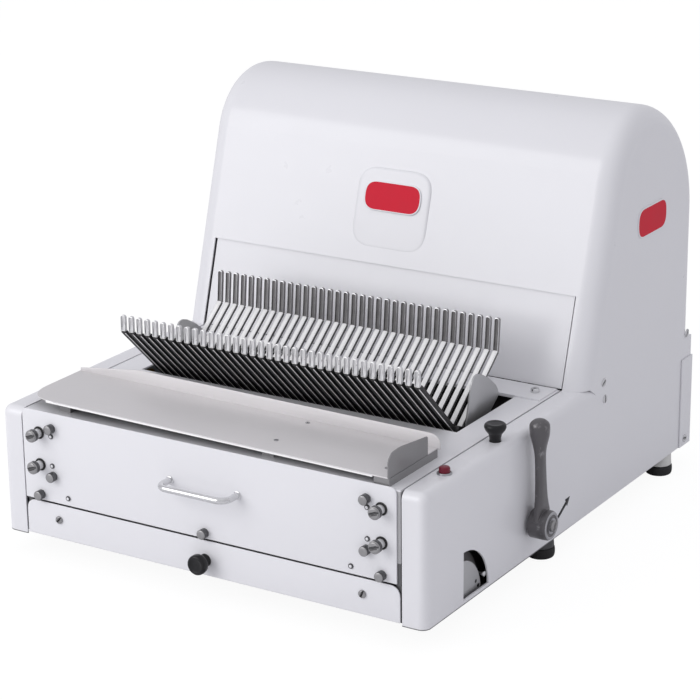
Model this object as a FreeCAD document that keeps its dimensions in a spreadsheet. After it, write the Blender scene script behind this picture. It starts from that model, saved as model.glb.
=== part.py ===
import FreeCAD, Part

import math
import os
import re
from types import SimpleNamespace

from FreeCAD import Placement, Rotation, Vector

doc = FreeCAD.newDocument("BreadSlicer")

# Driving sizes, in millimetres and degrees. Machine axes: x to the right of the middle plane,
# y back from the front panel's face, z up from the table.
SIZES = {
    # fits and sheet
    "seam": 0.3,
    "running_fit": 0.05,
    "clearance": 0.4,
    "cover_sheet": 2.0,
    # housing
    "side_room": 78.4,
    "cover_back": 651.0,
    "spacer_height": 13.0,
    "corner_radius": 10.0,
    "deck_top": 176.0,
    "deck_gap": 2.0,
    "cover_ledge": 29.0,
    "pan_sheet": 2.0,
    "frame_gap": 2.0,
    "frame_sheet": 6.0,
    "frame_rear_gap": 11.0,
    # well in the deck, between the combs
    "well_ledge": 28.0,
    "well_front": 179.0,
    "well_back": 312.6,
    "chute_bottom": 49.0,
    "chute_sheet": 2.0,
    "rear_chute": 335.0,
    # hood and throat
    "hood_foot": 357.0,
    "hood_lean": 16.7,
    "hood_front_radius": 90.0,
    "hood_rear_radius": 148.0,
    "hood_rear_centre_z": 330.0,
    "hood_edge_radius": 24.0,
    "hood_seam_start": 374.0,
    "hood_seam_end": 388.0,
    "hood_seam_drop": 10.6,
    "throat_top": 108.6,
    "throat_rim": 28.0,
    "door_sheet": 2.0,
    "door_gap": 2.2,
    "door_top": 121.0,
    "door_travel": 95.0,
    "guide_sheet": 2.4,
    "sill_front": 312.6,
    "sill_gap": 5.0,
    "sill_sheet": 1.5,
    # rear cover
    "rear_top": 139.5,
    "rear_wrap": 28.0,
    "rear_sheet": 1.5,
    "rear_screw_inset": 9.0,
    "hood_screw_gap": 19.0,
    "cover_screw_step": 4.0,
    "sill_nut_inset": 17.0,
    # front panels
    "panel_gap": 6.0,
    "panel_left_gap": 2.0,
    "panel_sheet": 2.0,
    "panel_split": 2.0,
    "panel_rise": 2.0,
    "panel_corner": 8.0,
    "handle_height": 130.6,
    "handle_half_span": 44.45,
    "handle_rod": 3.8,
    "handle_reach": 28.0,
    "handle_bend": 9.0,
    "stud_inset": 18.0,
    "stud_upper": 152.0,
    "stud_lower": 114.0,
    "stud_radius": 5.75,
    "stud_head_radius": 7.25,
    "stud_head": 5.0,
    "stud_reach": 17.0,
    "nut_radius": 5.6,
    "nut_inset": 36.0,
    "nut_upper": 160.0,
    "nut_lower": 103.0,
    "corner_nut_inset": 17.5,
    "corner_nut_height": 78.0,
    "nut_height": 9.0,
    "sill_nut_height": 5.0,
    "screw_radius": 3.0,
    "screw_head": 2.0,
    "screw_inset": 35.0,
    "screw_upper": 150.4,
    "screw_lower": 115.2,
    "low_screw_inset": 55.5,
    "low_screw_height": 80.0,
    # crumb tray
    "drawer_front_bottom": 28.0,
    "drawer_front_top": 69.0,
    "drawer_corner": 12.0,
    "drawer_proud": 0.4,
    "drawer_gap": 18.0,
    "drawer_rear_gap": 3.8,
    "drawer_wall_top": 46.0,
    "drawer_sheet": 1.2,
    "drawer_lift": 0.3,
    "drawer_knob_height": 46.0,
    "tray_screw_inset": 41.5,
    "tray_screw_height": 51.5,
    "tray_screw_radius": 4.5,
    "tray_screw_head": 2.4,
    "drawer_knob_radius": 11.5,
    "drawer_knob_reach": 20.0,
    # feet
    "foot_inset": 19.0,
    "foot_front": 292.0,
    "foot_rear_inset": 56.0,
    "foot_rear_side_inset": 13.0,
    "foot_radius": 16.5,
    "foot_height": 12.0,
    "spacer_radius": 15.5,
    # bagging tray
    "shelf_rise": 10.6,
    "shelf_slope": 5.6,
    "shelf_play": 0.05,
    "shelf_sheet": 1.5,
    "shelf_left_inset": 5.0,
    "shelf_inset": 16.5,
    "shelf_front": 2.0,
    "shelf_back": 104.5,
    "shelf_corner": 28.0,
    "shelf_lip": 15.0,
    "lip_low_end": 3.3,
    "hem_depth": 3.2,
    "hem_sheet": 1.0,
    "seam_band": 4.5,
    "lip_taper": 84.0,
    "lip_reach": 3.4,
    "lip_corner": 10.0,
    "shelf_leg_side": 198.0,
    "shelf_block_inset": 18.5,
    "shelf_leg_middle": 74.0,
    "shelf_leg_width": 15.0,
    "shelf_screw_radius": 2.6,
    "shelf_screw_head": 0.8,
    "shelf_screw_front": 32.2,
    "shelf_screw_rear": 94.4,
    "shelf_screw_right": 216.4,
    "shelf_screw_side_y": 24.7,
    "fence_height": 26.3,
    "fence_fall": 6.7,
    "fence_back": 83.0,
    "fence_cut": 8.0,
    "fence_flat": 24.0,
    "fence_drop": 1.0,
    # combs
    "comb_pitch": 11.1125,
    "front_fingers": 36,
    "rear_fingers": 35,
    "finger_width": 6.2,
    "finger_depth": 4.5,
    "front_base_y": 203.0,
    "front_base_z": 166.0,
    "front_knee_y": 125.0,
    "front_knee_z": 241.5,
    "front_tip_z": 260.5,
    "rear_base_y": 225.0,
    "rear_base_z": 161.0,
    "rear_knee_y": 309.5,
    "rear_knee_z": 227.0,
    "rear_tip_y": 313.0,
    "rear_tip_z": 266.0,
    "comb_bar_half": 7.0,
    "shaft_radius": 7.0,
    "front_pivot_y": 203.0,
    "front_pivot_z": 149.0,
    "rear_pivot_y": 229.0,
    "rear_pivot_z": 145.0,
    "backing_gap": 2.4,
    "backing_sheet": 1.6,
    "backing_cut_in": 33.34,
    "backing_cut": 66.0,
    "comb_margin": 1.03125,
    "end_plate_sheet": 2.0,
    "cheek_size": 70.0,
    # lever and its chain
    "lever_y": 230.0,
    "lever_z": 67.0,
    "lever_hub_radius": 17.0,
    "hub_gap": 3.5,
    "hub_width": 23.5,
    "lever_arm_offset": 10.5,
    "lever_arm_half": 4.6,
    "lever_neck_radius": 8.3,
    "lever_root_radius": 9.0,
    "lever_ball_radius": 12.0,
    "lever_ball_y": 222.0,
    "lever_ball_z": 181.0,
    "lever_bolt_radius": 6.5,
    "lever_bolt_head": 3.5,
    "lever_shaft_radius": 9.0,
    "wheel_gap": 6.0,
    "chain_width": 6.0,
    "chain_thickness": 4.0,
    "lever_sprocket_radius": 16.0,
    "comb_sprocket_radius": 20.0,
    "bearing_wall": 3.0,
    "bearing_flange": 2.0,
    # blade frames
    "front_frame_near": 18.0,
    "rear_frame_near": 36.0,
    "frame_bar": 16.0,
    "frame_side_width": 22.0,
    "guide_web": 14.0,
    "front_frame_bottom": -52.0,
    "rear_frame_bottom": -36.0,
    "frame_bar_height": 14.0,
    "guide_slot_reach": 20.0,
    "guide_lip": 7.199999999999999,
    "blade_top": 150.0,
    "blade_depth": 12.0,
    "blade_thickness": 0.8,
    "guide_lap": 4.5,
    "guide_near": 13.0,
    "guide_far": 57.0,
    "guide_bottom": -58.0,
    "guide_top": 190.0,
    # drive
    "eccentric_y": 432.0,
    "eccentric_z": 82.0,
    "eccentric_shaft_radius": 9.0,
    "eccentric_offset": 9.0,
    "eccentric_radius": 20.0,
    "eccentric_width": 14.0,
    "front_rod_x": 70.0,
    "rear_rod_x": 120.0,
    "rod_width": 8.0,
    "rod_drop": 8.0,
    "rod_end": 16.0,
    "pulley_width": 14.0,
    "driven_pulley_radius": 44.0,
    "motor_pulley_radius": 20.0,
    "belt_thickness": 4.0,
    "motor_rear_gap": 29.0,
    "motor_z": 112.0,
    "motor_radius": 62.0,
    "motor_length": 190.0,
    "cradle_inset": 20.0,
    "cradle_half_width": 49.6,
    "motor_gap": 8.0,
    "motor_shaft_radius": 8.0,
    # controls
    "button_y": 66.0,
    "button_inset": 16.0,
    "button_radius": 6.25,
    "button_height": 8.0,
    "bezel_radius": 8.25,
    "bezel_height": 2.0,
    "control_depth": 7.0,
    "knob_y": 177.0,
    "knob_inset": 16.5,
    "knob_radius": 12.25,
    "knob_height": 20.5,
    "knob_head": 9.0,
    "knob_stem_radius": 6.5,
    # window in the right cover with its quadrant plate
    "window_y": 79.0,
    "window_z": 30.0,
    "window_radius": 55.0,
    "quadrant_radius": 46.0,
    "quadrant_sheet": 3.0,
    "quadrant_post": 12.0,
    # plates on the hood
    "emblem_half_width": 50.0,
    "emblem_bottom": 128.0,
    "emblem_top": 223.0,
    "emblem_side": -5.5,
    "badge_drop": 34.0,
    "emblem_sheet": 2.0,
    "emblem_corner": 20.0,
    "badge_half_width": 38.8,
    "badge_half_height": 18.0,
    "badge_sheet": 1.2,
    "side_badge_y": 526.0,
    "side_badge_z": 343.0,
    # power inlet
    "gland_inset": 87.0,
    "gland_height": 70.0,
    "gland_radius": 11.0,
    "gland_bore": 4.5,
    "gland_flange": 3.0,
    "gland_reach": 14.0,
}

# Sizes that follow from the driving ones.
DERIVED = {
    "half_width": "end_plate_inner + side_room",
    "motor_y": "cover_back - motor_rear_gap - motor_radius",
    "drawer_depth": "motor_y - cradle_half_width - drawer_rear_gap - panel_sheet + drawer_proud",
    "gland_side": "-(half_width - gland_inset)",
    "cover_bottom": "foot_height + spacer_height",
    "deck_half_width": "half_width - cover_ledge",
    "frame_inner": "deck_half_width - frame_gap - frame_sheet",
    "frame_back": "cover_back - frame_rear_gap",
    "well_half_width": "frame_inner - well_ledge",
    "hood_rear_centre_y": "cover_back - hood_rear_radius",
    "hood_seam_height": "deck_top - hood_seam_drop",
    "throat_half_width": "half_width - throat_rim",
    "door_half_width": "throat_half_width - door_gap",
    "sill_half_width": "deck_half_width - sill_gap",
    "panel_half_width": "deck_half_width - panel_gap",
    "panel_left": "deck_half_width - panel_left_gap",
    "panel_bottom": "drawer_front_top + panel_split",
    "panel_top": "deck_top + panel_rise",
    "stud_side": "panel_half_width - stud_inset",
    "nut_side": "panel_half_width - nut_inset",
    "corner_nut_side": "panel_half_width - corner_nut_inset",
    "screw_side": "panel_half_width - screw_inset",
    "low_screw_side": "panel_half_width - low_screw_inset",
    "tray_screw_side": "panel_half_width - tray_screw_inset",
    "drawer_half_width": "frame_inner - drawer_gap",
    "foot_side": "half_width - foot_inset",
    "foot_rear_side": "half_width - foot_rear_side_inset",
    "shelf_block_side": "shelf_right - shelf_block_inset",
    "foot_rear": "cover_back - foot_rear_inset",
    "shelf_top": "deck_top + shelf_rise",
    "shelf_left": "deck_half_width - shelf_left_inset",
    "shelf_right": "deck_half_width - shelf_inset",
    "end_plate_inner": "(front_fingers - 1) / 2 * comb_pitch + finger_width / 2 + comb_margin",
    "lever_hub_inner": "half_width + hub_gap",
    "lever_hub_outer": "lever_hub_inner + hub_width",
    "lever_arm_middle": "lever_hub_inner + lever_arm_offset",
    "wheel_inner": "frame_inner + frame_sheet + wheel_gap",
    "frame_side_outer": "frame_inner - guide_web",
    "frame_side_inner": "frame_side_outer - frame_side_width",
    "guide_inner": "frame_side_outer - guide_lap",
    "motor_end": "frame_inner - motor_gap",
    "button_side": "half_width - button_inset",
    "knob_side": "half_width - knob_inset",
    "hood_screw_y": "hood_seam_end + hood_screw_gap",
    "cover_screw_y": "hood_screw_y + cover_screw_step",
    "rear_screw_y": "cover_back - rear_wrap / 2",
    "sill_nut_y": "(sill_front + hood_foot) / 2",
    "sill_nut_side": "sill_half_width - sill_nut_inset",
}

sheet = doc.addObject("Spreadsheet::Sheet", "Sizes")
for row, (alias, size) in enumerate(SIZES.items(), start=1):
    sheet.set(f"A{row}", alias.replace("_", " "))
    sheet.set(f"B{row}", str(size))
    sheet.setAlias(f"B{row}", alias)
doc.recompute()

# The part's origin is the middle of its footprint, on the table.
LEVER_REACH = "(lever_hub_outer + lever_bolt_head)"
REAR_FACE = "(cover_back + seam + rear_sheet)"
COVER_FACE = "(half_width + seam + rear_sheet)"
ORIGIN = {
    "x": f"({LEVER_REACH} - {COVER_FACE}) / 2",
    "y": f"({REAR_FACE} - handle_reach) / 2",
    "z": "0",
}
FUNCTIONS = {"sin", "cos", "tan"}
TURNS = {
    "x": Rotation(Vector(0, 1, 0), 90),
    "y": Rotation(Vector(1, 0, 0), -90),
    "z": Rotation(),
}
ALONG_X = Vector(1, 0, 0)


def bound(text):
    """Write a formula of size names the way a FreeCAD expression refers to the sheet."""
    def name(match):
        word = match.group()
        if word in DERIVED:
            return f"({bound(DERIVED[word])})"
        return word if word in FUNCTIONS else f"Sizes.{word}"
    return re.sub(r"[a-z][a-z_]*[a-z]", name, str(text))


def measure(text):
    """Value of a formula of size names, worked out by the sheet's own expression engine."""
    return float(sheet.evalExpression(bound(text)))


v = SimpleNamespace(**{alias: measure(alias) for alias in (*SIZES, *DERIVED)})
UP_HOOD = Vector(0, math.sin(math.radians(v.hood_lean)), math.cos(math.radians(v.hood_lean)))
INTO_HOOD = Vector(0, UP_HOOD.z, -UP_HOOD.y)
SHIFT = Vector(-measure(ORIGIN["x"]), -measure(ORIGIN["y"]), 0)


def bind(thing, member, formula):
    """Bind one property of an object to a formula of the sheet's sizes."""
    thing.setExpression(member, bound(formula))


def put(thing, x, y, z):
    """Bind an object's position, given in machine axes."""
    for axis, formula in zip("xyz", (x, y, z)):
        bind(thing, f"Placement.Base.{axis}", f"{formula} - ({ORIGIN[axis]})")
    return thing


def box(name, x, y, z):
    """Box between pairs of planes, each plane a formula in machine axes."""
    solid = doc.addObject("Part::Box", name)
    for member, (low, high) in zip(("Length", "Width", "Height"), (x, y, z)):
        bind(solid, member, f"({high}) - ({low})")
    return put(solid, x[0], y[0], z[0])


def leaning_box(name, x, into, up):
    """Box that leans with the hood: into runs back from its face, up runs along its face."""
    solid = doc.addObject("Part::Box", name)
    solid.Placement = Placement(Vector(), Rotation(ALONG_X, -v.hood_lean))
    for member, (low, high) in zip(("Length", "Width", "Height"), (x, into, up)):
        bind(solid, member, f"({high}) - ({low})")
    y = f"hood_foot + ({into[0]}) * cos(hood_lean) + ({up[0]}) * sin(hood_lean)"
    z = f"deck_top - ({into[0]}) * sin(hood_lean) + ({up[0]}) * cos(hood_lean)"
    return put(solid, x[0], y, z)


def rod(name, axis, radius, low, high, **across):
    """Cylinder along one machine axis, from low to high, with its centre line across it."""
    solid = doc.addObject("Part::Cylinder", name)
    solid.Placement = Placement(Vector(), TURNS[axis])
    bind(solid, "Radius", radius)
    bind(solid, "Height", f"({high}) - ({low})")
    place = {**across, axis: low}
    return put(solid, place["x"], place["y"], place["z"])


def cut(name, base, *tools):
    """Take the tools away from the base."""
    result = doc.addObject("Part::Cut", name)
    result.Base = base
    result.Tool = tools[0] if len(tools) == 1 else fuse(f"{name}_tools", *tools)
    return result


def fuse(name, *parts):
    """Join overlapping or touching solids into one."""
    result = doc.addObject("Part::MultiFuse", name)
    result.Shapes = list(parts)
    result.Refine = True
    return result


def group(name, *parts):
    """Keep separate solids together in one sub-part."""
    result = doc.addObject("Part::Compound", name)
    result.Links = list(parts)
    return result


def mirrored(name, source):
    """Copy of a sub-part on the other side of the middle plane."""
    result = doc.addObject("Part::Mirroring", name)
    result.Source = source
    result.Normal = ALONG_X
    bind(result, "Base.x", f"-({ORIGIN['x']})")
    return result


def formed(name, shape):
    """Sub-part whose shape is worked out in code from the sheet, in machine axes."""
    feature = doc.addObject("Part::Feature", name)
    feature.Shape = shape
    feature.Placement = Placement(SHIFT, Rotation()).multiply(shape.Placement)
    return feature


def line(start, end):
    return Part.LineSegment(Vector(*start, 0), Vector(*end, 0))


def arc(centre, radius, start, end):
    """Arc about a centre, from one angle to another in degrees, anticlockwise."""
    circle = Part.Circle(Vector(*centre, 0), Vector(0, 0, 1), radius)
    return Part.ArcOfCircle(circle, math.radians(start), math.radians(end))


def polygon(points):
    return [line(start, end) for start, end in zip(points, points[1:] + points[:1])]


PLANES = {"x": "YZ_Plane", "y": "XZ_Plane", "z": "XY_Plane"}


def profile(name, axis, outline, low, high):
    """Body with one sketch across an axis, padded from low to high along that axis.

    The sketch holds (y, z) for the x axis, (x, z) for the y axis and (x, y) for the z axis.
    """
    body = doc.addObject("PartDesign::Body", name)
    body.Placement = Placement(SHIFT, Rotation())
    sketch = body.newObject("Sketcher::SketchObject", f"{name}_sketch")
    plane = next(item for item in body.Origin.OriginFeatures if item.Role == PLANES[axis])
    sketch.AttachmentSupport = (plane, [""])
    sketch.MapMode = "FlatFace"
    bind(sketch, "AttachmentOffset.Base.z", low if axis != "y" else f"-({high})")
    sketch.addGeometry(outline, False)
    pad = body.newObject("PartDesign::Pad", f"{name}_pad")
    pad.Profile = sketch
    bind(pad, "Length", f"({high}) - ({low})")
    return body


def rounded(body, radius, wanted):
    """Fillet the edges of a body's last feature that pass the test."""
    doc.recompute()
    base = body.Tip
    edges = [f"Edge{number}" for number, edge in enumerate(base.Shape.Edges, start=1) if wanted(edge)]
    fillet = body.newObject("PartDesign::Fillet", f"{body.Name}_fillet")
    fillet.Base = (base, edges)
    bind(fillet, "Radius", radius)
    return body


nodes = []


def node(label, thing):
    """Give a finished sub-part the name that its file takes."""
    thing.Label = label
    nodes.append(thing)
    return thing


# ---------------------------------------------------------------- base, frames and deck
def base_pan():
    side = "half_width - cover_sheet - seam"
    return box("pan", (f"-({side})", side), ("corner_radius", "cover_back - cover_sheet - seam"),
               ("cover_bottom", "cover_bottom + pan_sheet"))


def feet(name, radius, low, high):
    solids = [
        rod(f"{name}_{side}_{place}", "z", radius, low, high, x=f"{sign}{across}", y=place)
        for side, sign in (("left", "-"), ("right", ""))
        for across, place in (("foot_side", "foot_front"), ("foot_rear_side", "foot_rear"))
    ]
    return group(name, *solids)


SHAFTS = {
    "lever": ("lever_y", "lever_z", "lever_shaft_radius"),
    "front_comb": ("front_pivot_y", "front_pivot_z", "shaft_radius"),
    "rear_comb": ("rear_pivot_y", "rear_pivot_z", "shaft_radius"),
    "eccentric": ("eccentric_y", "eccentric_z", "eccentric_shaft_radius"),
}


def side_frame(side, sign):
    inner, outer = "frame_inner", "frame_inner + frame_sheet"
    across = (inner, outer) if sign == "" else (f"-({outer})", f"-({inner})")
    lower = box(f"{side}_frame_lower", across, ("panel_sheet", "frame_back"),
                ("cover_bottom + pan_sheet", "deck_top - cover_sheet"))
    tower = leaning_box(f"{side}_frame_tower", across, ("guide_near", "guide_far + frame_bar"),
                        ("-frame_bar", "guide_top"))
    plate = fuse(f"{side}_frame_plate", lower, tower)
    bores = [
        rod(f"{side}_{name}_bore", "x", f"{radius} + bearing_wall", across[0], across[1], y=y, z=z)
        for name, (y, z, radius) in SHAFTS.items()
    ]
    if sign == "":
        bores.append(rod("motor_shaft_hole", "x", "motor_shaft_radius + bearing_wall", inner, outer,
                         y="motor_y", z="motor_z"))
    slot = box(f"{side}_drawer_notch", across, ("0", "panel_sheet + drawer_sheet"),
               ("0", "drawer_front_top + seam"))
    return cut(f"{side}_frame", plate, slot, *bores)


def bearings():
    solids = []
    for side, sign in (("left", "-"), ("right", "")):
        for name, (y, z, radius) in SHAFTS.items():
            start, end = "frame_inner - bearing_flange", "frame_inner + frame_sheet"
            low, high = (start, end) if sign == "" else (f"-({end})", f"-({start})")
            flange = (start, "frame_inner") if sign == "" else ("-frame_inner", f"-({start})")
            bush = rod(f"{side}_{name}_bush", "x", f"{radius} + bearing_wall", low, high, y=y, z=z)
            lip = rod(f"{side}_{name}_lip", "x", f"{radius} + bearing_wall + bearing_flange", *flange,
                      y=y, z=z)
            bore = rod(f"{side}_{name}_bush_bore", "x", f"{radius} + running_fit", low, high, y=y, z=z)
            solids.append(cut(f"{side}_{name}_bearing", fuse(f"{side}_{name}_body", bush, lip), bore))
    return group("bearings", *solids)


def deck_plate():
    plate = box("deck_sheet", ("deck_gap - deck_half_width", "deck_half_width - deck_gap"),
                ("panel_sheet", "hood_foot + seam"), ("deck_top - cover_sheet", "deck_top"))
    well = box("deck_well", ("-well_half_width", "well_half_width"), ("well_front", "well_back"),
               ("deck_top - 2 * cover_sheet", "deck_top + cover_sheet"))
    return cut("deck", plate, well)


def chute_plates():
    height = ("chute_bottom", "deck_top - cover_sheet")
    across = ("-frame_inner", "frame_inner")
    front = box("front_chute", across, ("well_front - chute_sheet", "well_front"), height)
    rear = box("rear_chute_plate", across, ("rear_chute", "rear_chute + chute_sheet"), height)
    return group("chutes", front, rear)


# ---------------------------------------------------------------- covers
def cover_outline(inset):
    """Side view of a side cover; the top steps down where the hood's side wall sits on it."""
    top = v.deck_top - inset
    seam = v.hood_seam_height - inset
    return polygon([
        (inset, v.cover_bottom - inset),
        (v.cover_back - inset, v.cover_bottom - inset),
        (v.cover_back - inset, seam),
        (v.hood_seam_end, seam),
        (v.hood_seam_start, top),
        (inset, top),
    ])


def is_outer_cover_edge(inset, face):
    """Test for a cover's front and top edges on its outer face, and for its front top edge."""
    def wanted(edge):
        middle = edge.CenterOfMass
        front = abs(middle.y - inset) < 1
        top = middle.z > v.hood_seam_height - v.seam_band and middle.y < v.hood_seam_start
        return (front and top) or (abs(middle.x - face) < 1 and (front or top))
    return wanted


def side_cover(name):
    inner_face = "half_width - cover_sheet"
    skin = profile(f"{name}_skin", "x", cover_outline(0), "deck_half_width + seam", "half_width")
    rounded(skin, "corner_radius", is_outer_cover_edge(0, v.half_width))
    hollow = profile(f"{name}_hollow", "x", cover_outline(v.cover_sheet), "deck_half_width - 1", inner_face)
    rounded(hollow, "corner_radius - cover_sheet",
            is_outer_cover_edge(v.cover_sheet, v.half_width - v.cover_sheet))
    return cut(name, skin, hollow)


def right_cover():
    shell = side_cover("right_cover_shell")
    depth = ("half_width - 2 * cover_sheet", "half_width + cover_sheet")
    window = [
        rod("window_round", "x", "window_radius", *depth, y="window_y", z="window_z"),
        box("window_square", depth, ("window_y", "window_y + window_radius"),
            ("window_z", "window_z + window_radius")),
    ]
    opening = doc.addObject("Part::MultiCommon", "window")
    opening.Shapes = window
    shaft = rod("lever_shaft_hole", "x", "lever_shaft_radius + clearance", *depth, y="lever_y", z="lever_z")
    through = ("deck_top - 2 * cover_sheet", "deck_top + cover_sheet")
    button = rod("button_hole", "z", "button_radius + clearance", *through, x="button_side", y="button_y")
    knob = rod("knob_hole", "z", "knob_stem_radius + clearance", *through, x="knob_side", y="knob_y")
    return cut("right_cover", shell, opening, shaft, button, knob)


# ---------------------------------------------------------------- hood, throat and rear cover
def hood_outline(inset, drop):
    """Side view of the hood: leaning front, crest of two tangent arcs and upright rear wall."""
    foot = Vector(0, v.hood_foot, v.deck_top)
    front_radius = v.hood_front_radius - inset
    rear_radius = v.hood_rear_radius - inset
    rear_centre = Vector(0, v.hood_rear_centre_y, v.hood_rear_centre_z)
    base = foot + INTO_HOOD * v.hood_front_radius
    offset = base - rear_centre
    along = offset.dot(UP_HOOD)
    gap = v.hood_rear_radius - v.hood_front_radius
    height = -along + math.sqrt(along ** 2 - offset.Length ** 2 + gap ** 2)
    front_centre = base + UP_HOOD * height
    join = math.degrees(math.atan2(front_centre.z - rear_centre.z, front_centre.y - rear_centre.y))
    start = foot + INTO_HOOD * inset
    lowest = start - UP_HOOD * (drop / UP_HOOD.z)
    tangent = start + UP_HOOD * height
    back = rear_centre.y + rear_radius
    seam = v.hood_seam_height - drop
    outline = [
        line((lowest.y, lowest.z), (tangent.y, tangent.z)),
        arc((front_centre.y, front_centre.z), front_radius, join, 180 - v.hood_lean),
        arc((rear_centre.y, rear_centre.z), rear_radius, 0, join),
        line((back, rear_centre.z), (back, seam)),
    ]
    seam_end = v.hood_seam_end + v.clearance
    seam_start = v.hood_seam_start + v.clearance
    outline += [
        line((back, seam), (seam_end, seam)),
        line((seam_end, seam), (seam_start, v.deck_top - drop)),
        line((seam_start, v.deck_top - drop), (lowest.y, lowest.z)),
    ]
    return outline


def is_hood_side_edge(face):
    """Test for the front, crest and rear edges of the hood on its two side faces."""
    def wanted(edge):
        middle = edge.CenterOfMass
        leans_or_curves = middle.z > v.deck_top + v.frame_bar
        return abs(abs(middle.x) - face) < 1 and leans_or_curves
    return wanted


def hood():
    skin = profile("hood_skin", "x", hood_outline(0, 0), "-half_width", "half_width")
    rounded(skin, "hood_edge_radius", is_hood_side_edge(v.half_width))
    wall = v.half_width - v.cover_sheet
    hollow = profile("hood_hollow", "x", hood_outline(v.cover_sheet, v.frame_bar),
                     "-half_width + cover_sheet", "half_width - cover_sheet")
    rounded(hollow, "hood_edge_radius - cover_sheet", is_hood_side_edge(wall))
    throat = leaning_box("throat", ("-throat_half_width", "throat_half_width"),
                         ("-cover_sheet", "2 * cover_sheet"), ("-frame_bar", "throat_top"))
    shell = cut("hood_shell", skin, hollow, throat)
    apron = box("hood_apron", ("-deck_half_width", "deck_half_width"),
                ("cover_back - cover_sheet", "cover_back"), ("rear_top + seam", "hood_seam_height"))
    return fuse("hood_piece", shell, apron)


def loaf_door():
    return leaning_box("door", ("-door_half_width", "door_half_width"),
                       ("cover_sheet + clearance", "cover_sheet + clearance + door_sheet"),
                       ("sill_sheet + clearance", "door_top"))


def door_guides():
    solids = []
    reach = "cover_sheet + door_sheet + 2 * clearance"
    for side, sign in (("left", "-"), ("right", "")):
        def span(low, high, sign=sign):
            return (low, high) if sign == "" else (f"-({high})", f"-({low})")
        up = ("throat_top + clearance", "door_top + door_travel")
        outer = "throat_half_width + guide_sheet"
        wall = leaning_box(f"{side}_guide_wall", span("door_half_width + clearance", outer),
                           ("cover_sheet", f"{reach} + guide_sheet"), up)
        lip = leaning_box(f"{side}_guide_lip", span("door_half_width - guide_lip", outer),
                          (reach, f"{reach} + guide_sheet"), up)
        solids.append(fuse(f"{side}_door_guide", wall, lip))
    return group("guides_of_door", *solids)


def throat_sill():
    flat = box("sill_flat", ("-sill_half_width", "sill_half_width"), ("sill_front", "hood_foot - clearance"),
               ("deck_top", "deck_top + sill_sheet"))
    well = box("sill_gap", ("-well_half_width", "well_half_width"),
               ("sill_front - 1", "sill_front + clearance"), ("deck_top - 1", "deck_top + 2 * sill_sheet"))
    return cut("sill", flat, well)


def rear_cover():
    outer = COVER_FACE
    height = ("cover_bottom", "rear_top")
    block = box("rear_block", (f"-{outer}", outer), (f"cover_back - rear_wrap", REAR_FACE), height)
    inner = "half_width + seam"
    hollow = box("rear_hollow", (f"-({inner})", inner), ("cover_back - 2 * rear_wrap", "cover_back + seam"),
                 ("cover_bottom - 1", "rear_top + 1"))
    gland = rod("gland_hole", "y", "gland_radius - seam", "cover_back", f"{REAR_FACE} + 1",
                x="gland_side", z="gland_height")
    return cut("rear_piece", block, hollow, gland)


def power_gland():
    barrel = rod("gland_barrel", "y", "gland_radius - seam", "cover_back + seam", f"{REAR_FACE}",
                 x="gland_side", z="gland_height")
    inside = rod("gland_nut", "y", "gland_radius + gland_flange", "cover_back + seam - gland_reach",
                 "cover_back + seam", x="gland_side", z="gland_height")
    bore = rod("gland_bore_hole", "y", "gland_bore", "cover_back - gland_reach - 1", f"{REAR_FACE} + 1",
               x="gland_side", z="gland_height")
    return cut("gland", fuse("gland_body", barrel, inside), bore)


# ---------------------------------------------------------------- front panel and its hardware
def panel_shape(name, right, bottom, top, corner, face, back):
    """Front sheet with round upper corners that reaches to right."""
    left = -v.panel_left
    low, high = measure(bottom), measure(top)
    outline = [
        line((left, low), (right, low)),
        line((right, low), (right, high - corner)),
        arc((right - corner, high - corner), corner, 0, 90),
        line((right - corner, high), (left + corner, high)),
        arc((left + corner, high - corner), corner, 90, 180),
        line((left, high - corner), (left, low)),
    ]
    return profile(name, "y", outline, face, back)


def front_panel():
    blank = panel_shape("panel_blank", v.panel_half_width, "panel_bottom", "panel_top", v.panel_corner,
                        "0", "panel_sheet")
    holes = [
        rod(f"stud_hole_{number}", "y", "stud_radius", "-1", "panel_sheet + 1", x=x, z=z)
        for number, (x, z) in enumerate(STUDS)
    ]
    return cut("panel", blank, *holes)


def both(side, *heights):
    """Places on both sides of the middle plane, at each of these heights."""
    return [(f"{sign}{side}", height) for sign in ("-", "") for height in heights]


STUDS = both("stud_side", "stud_upper", "stud_lower")
NUTS = both("nut_side", "nut_upper", "nut_lower") + both("corner_nut_side", "corner_nut_height")
NUTS.append(("0", "corner_nut_height"))
PANEL_SCREWS = both("screw_side", "screw_upper", "screw_lower") + both("low_screw_side", "low_screw_height")
TRAY_SCREWS = both("tray_screw_side", "tray_screw_height")


def guide_studs():
    solids = []
    for number, (x, z) in enumerate(STUDS):
        shank = rod(f"stud_{number}", "y", "stud_radius", "-stud_reach", "panel_sheet + stud_reach", x=x, z=z)
        head = rod(f"stud_head_{number}", "y", "stud_head_radius", "-stud_reach", "stud_head - stud_reach",
                   x=x, z=z)
        solids.append(fuse(f"stud_piece_{number}", shank, head))
    return group("studs", *solids)


def caps(name, places, radius, height, face="0"):
    """Round heads that stand on a front face."""
    solids = [
        rod(f"{name}_{number}", "y", radius, f"{face} - {height}", face, x=x, z=z)
        for number, (x, z) in enumerate(places)
    ]
    return group(name, *solids)


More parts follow.
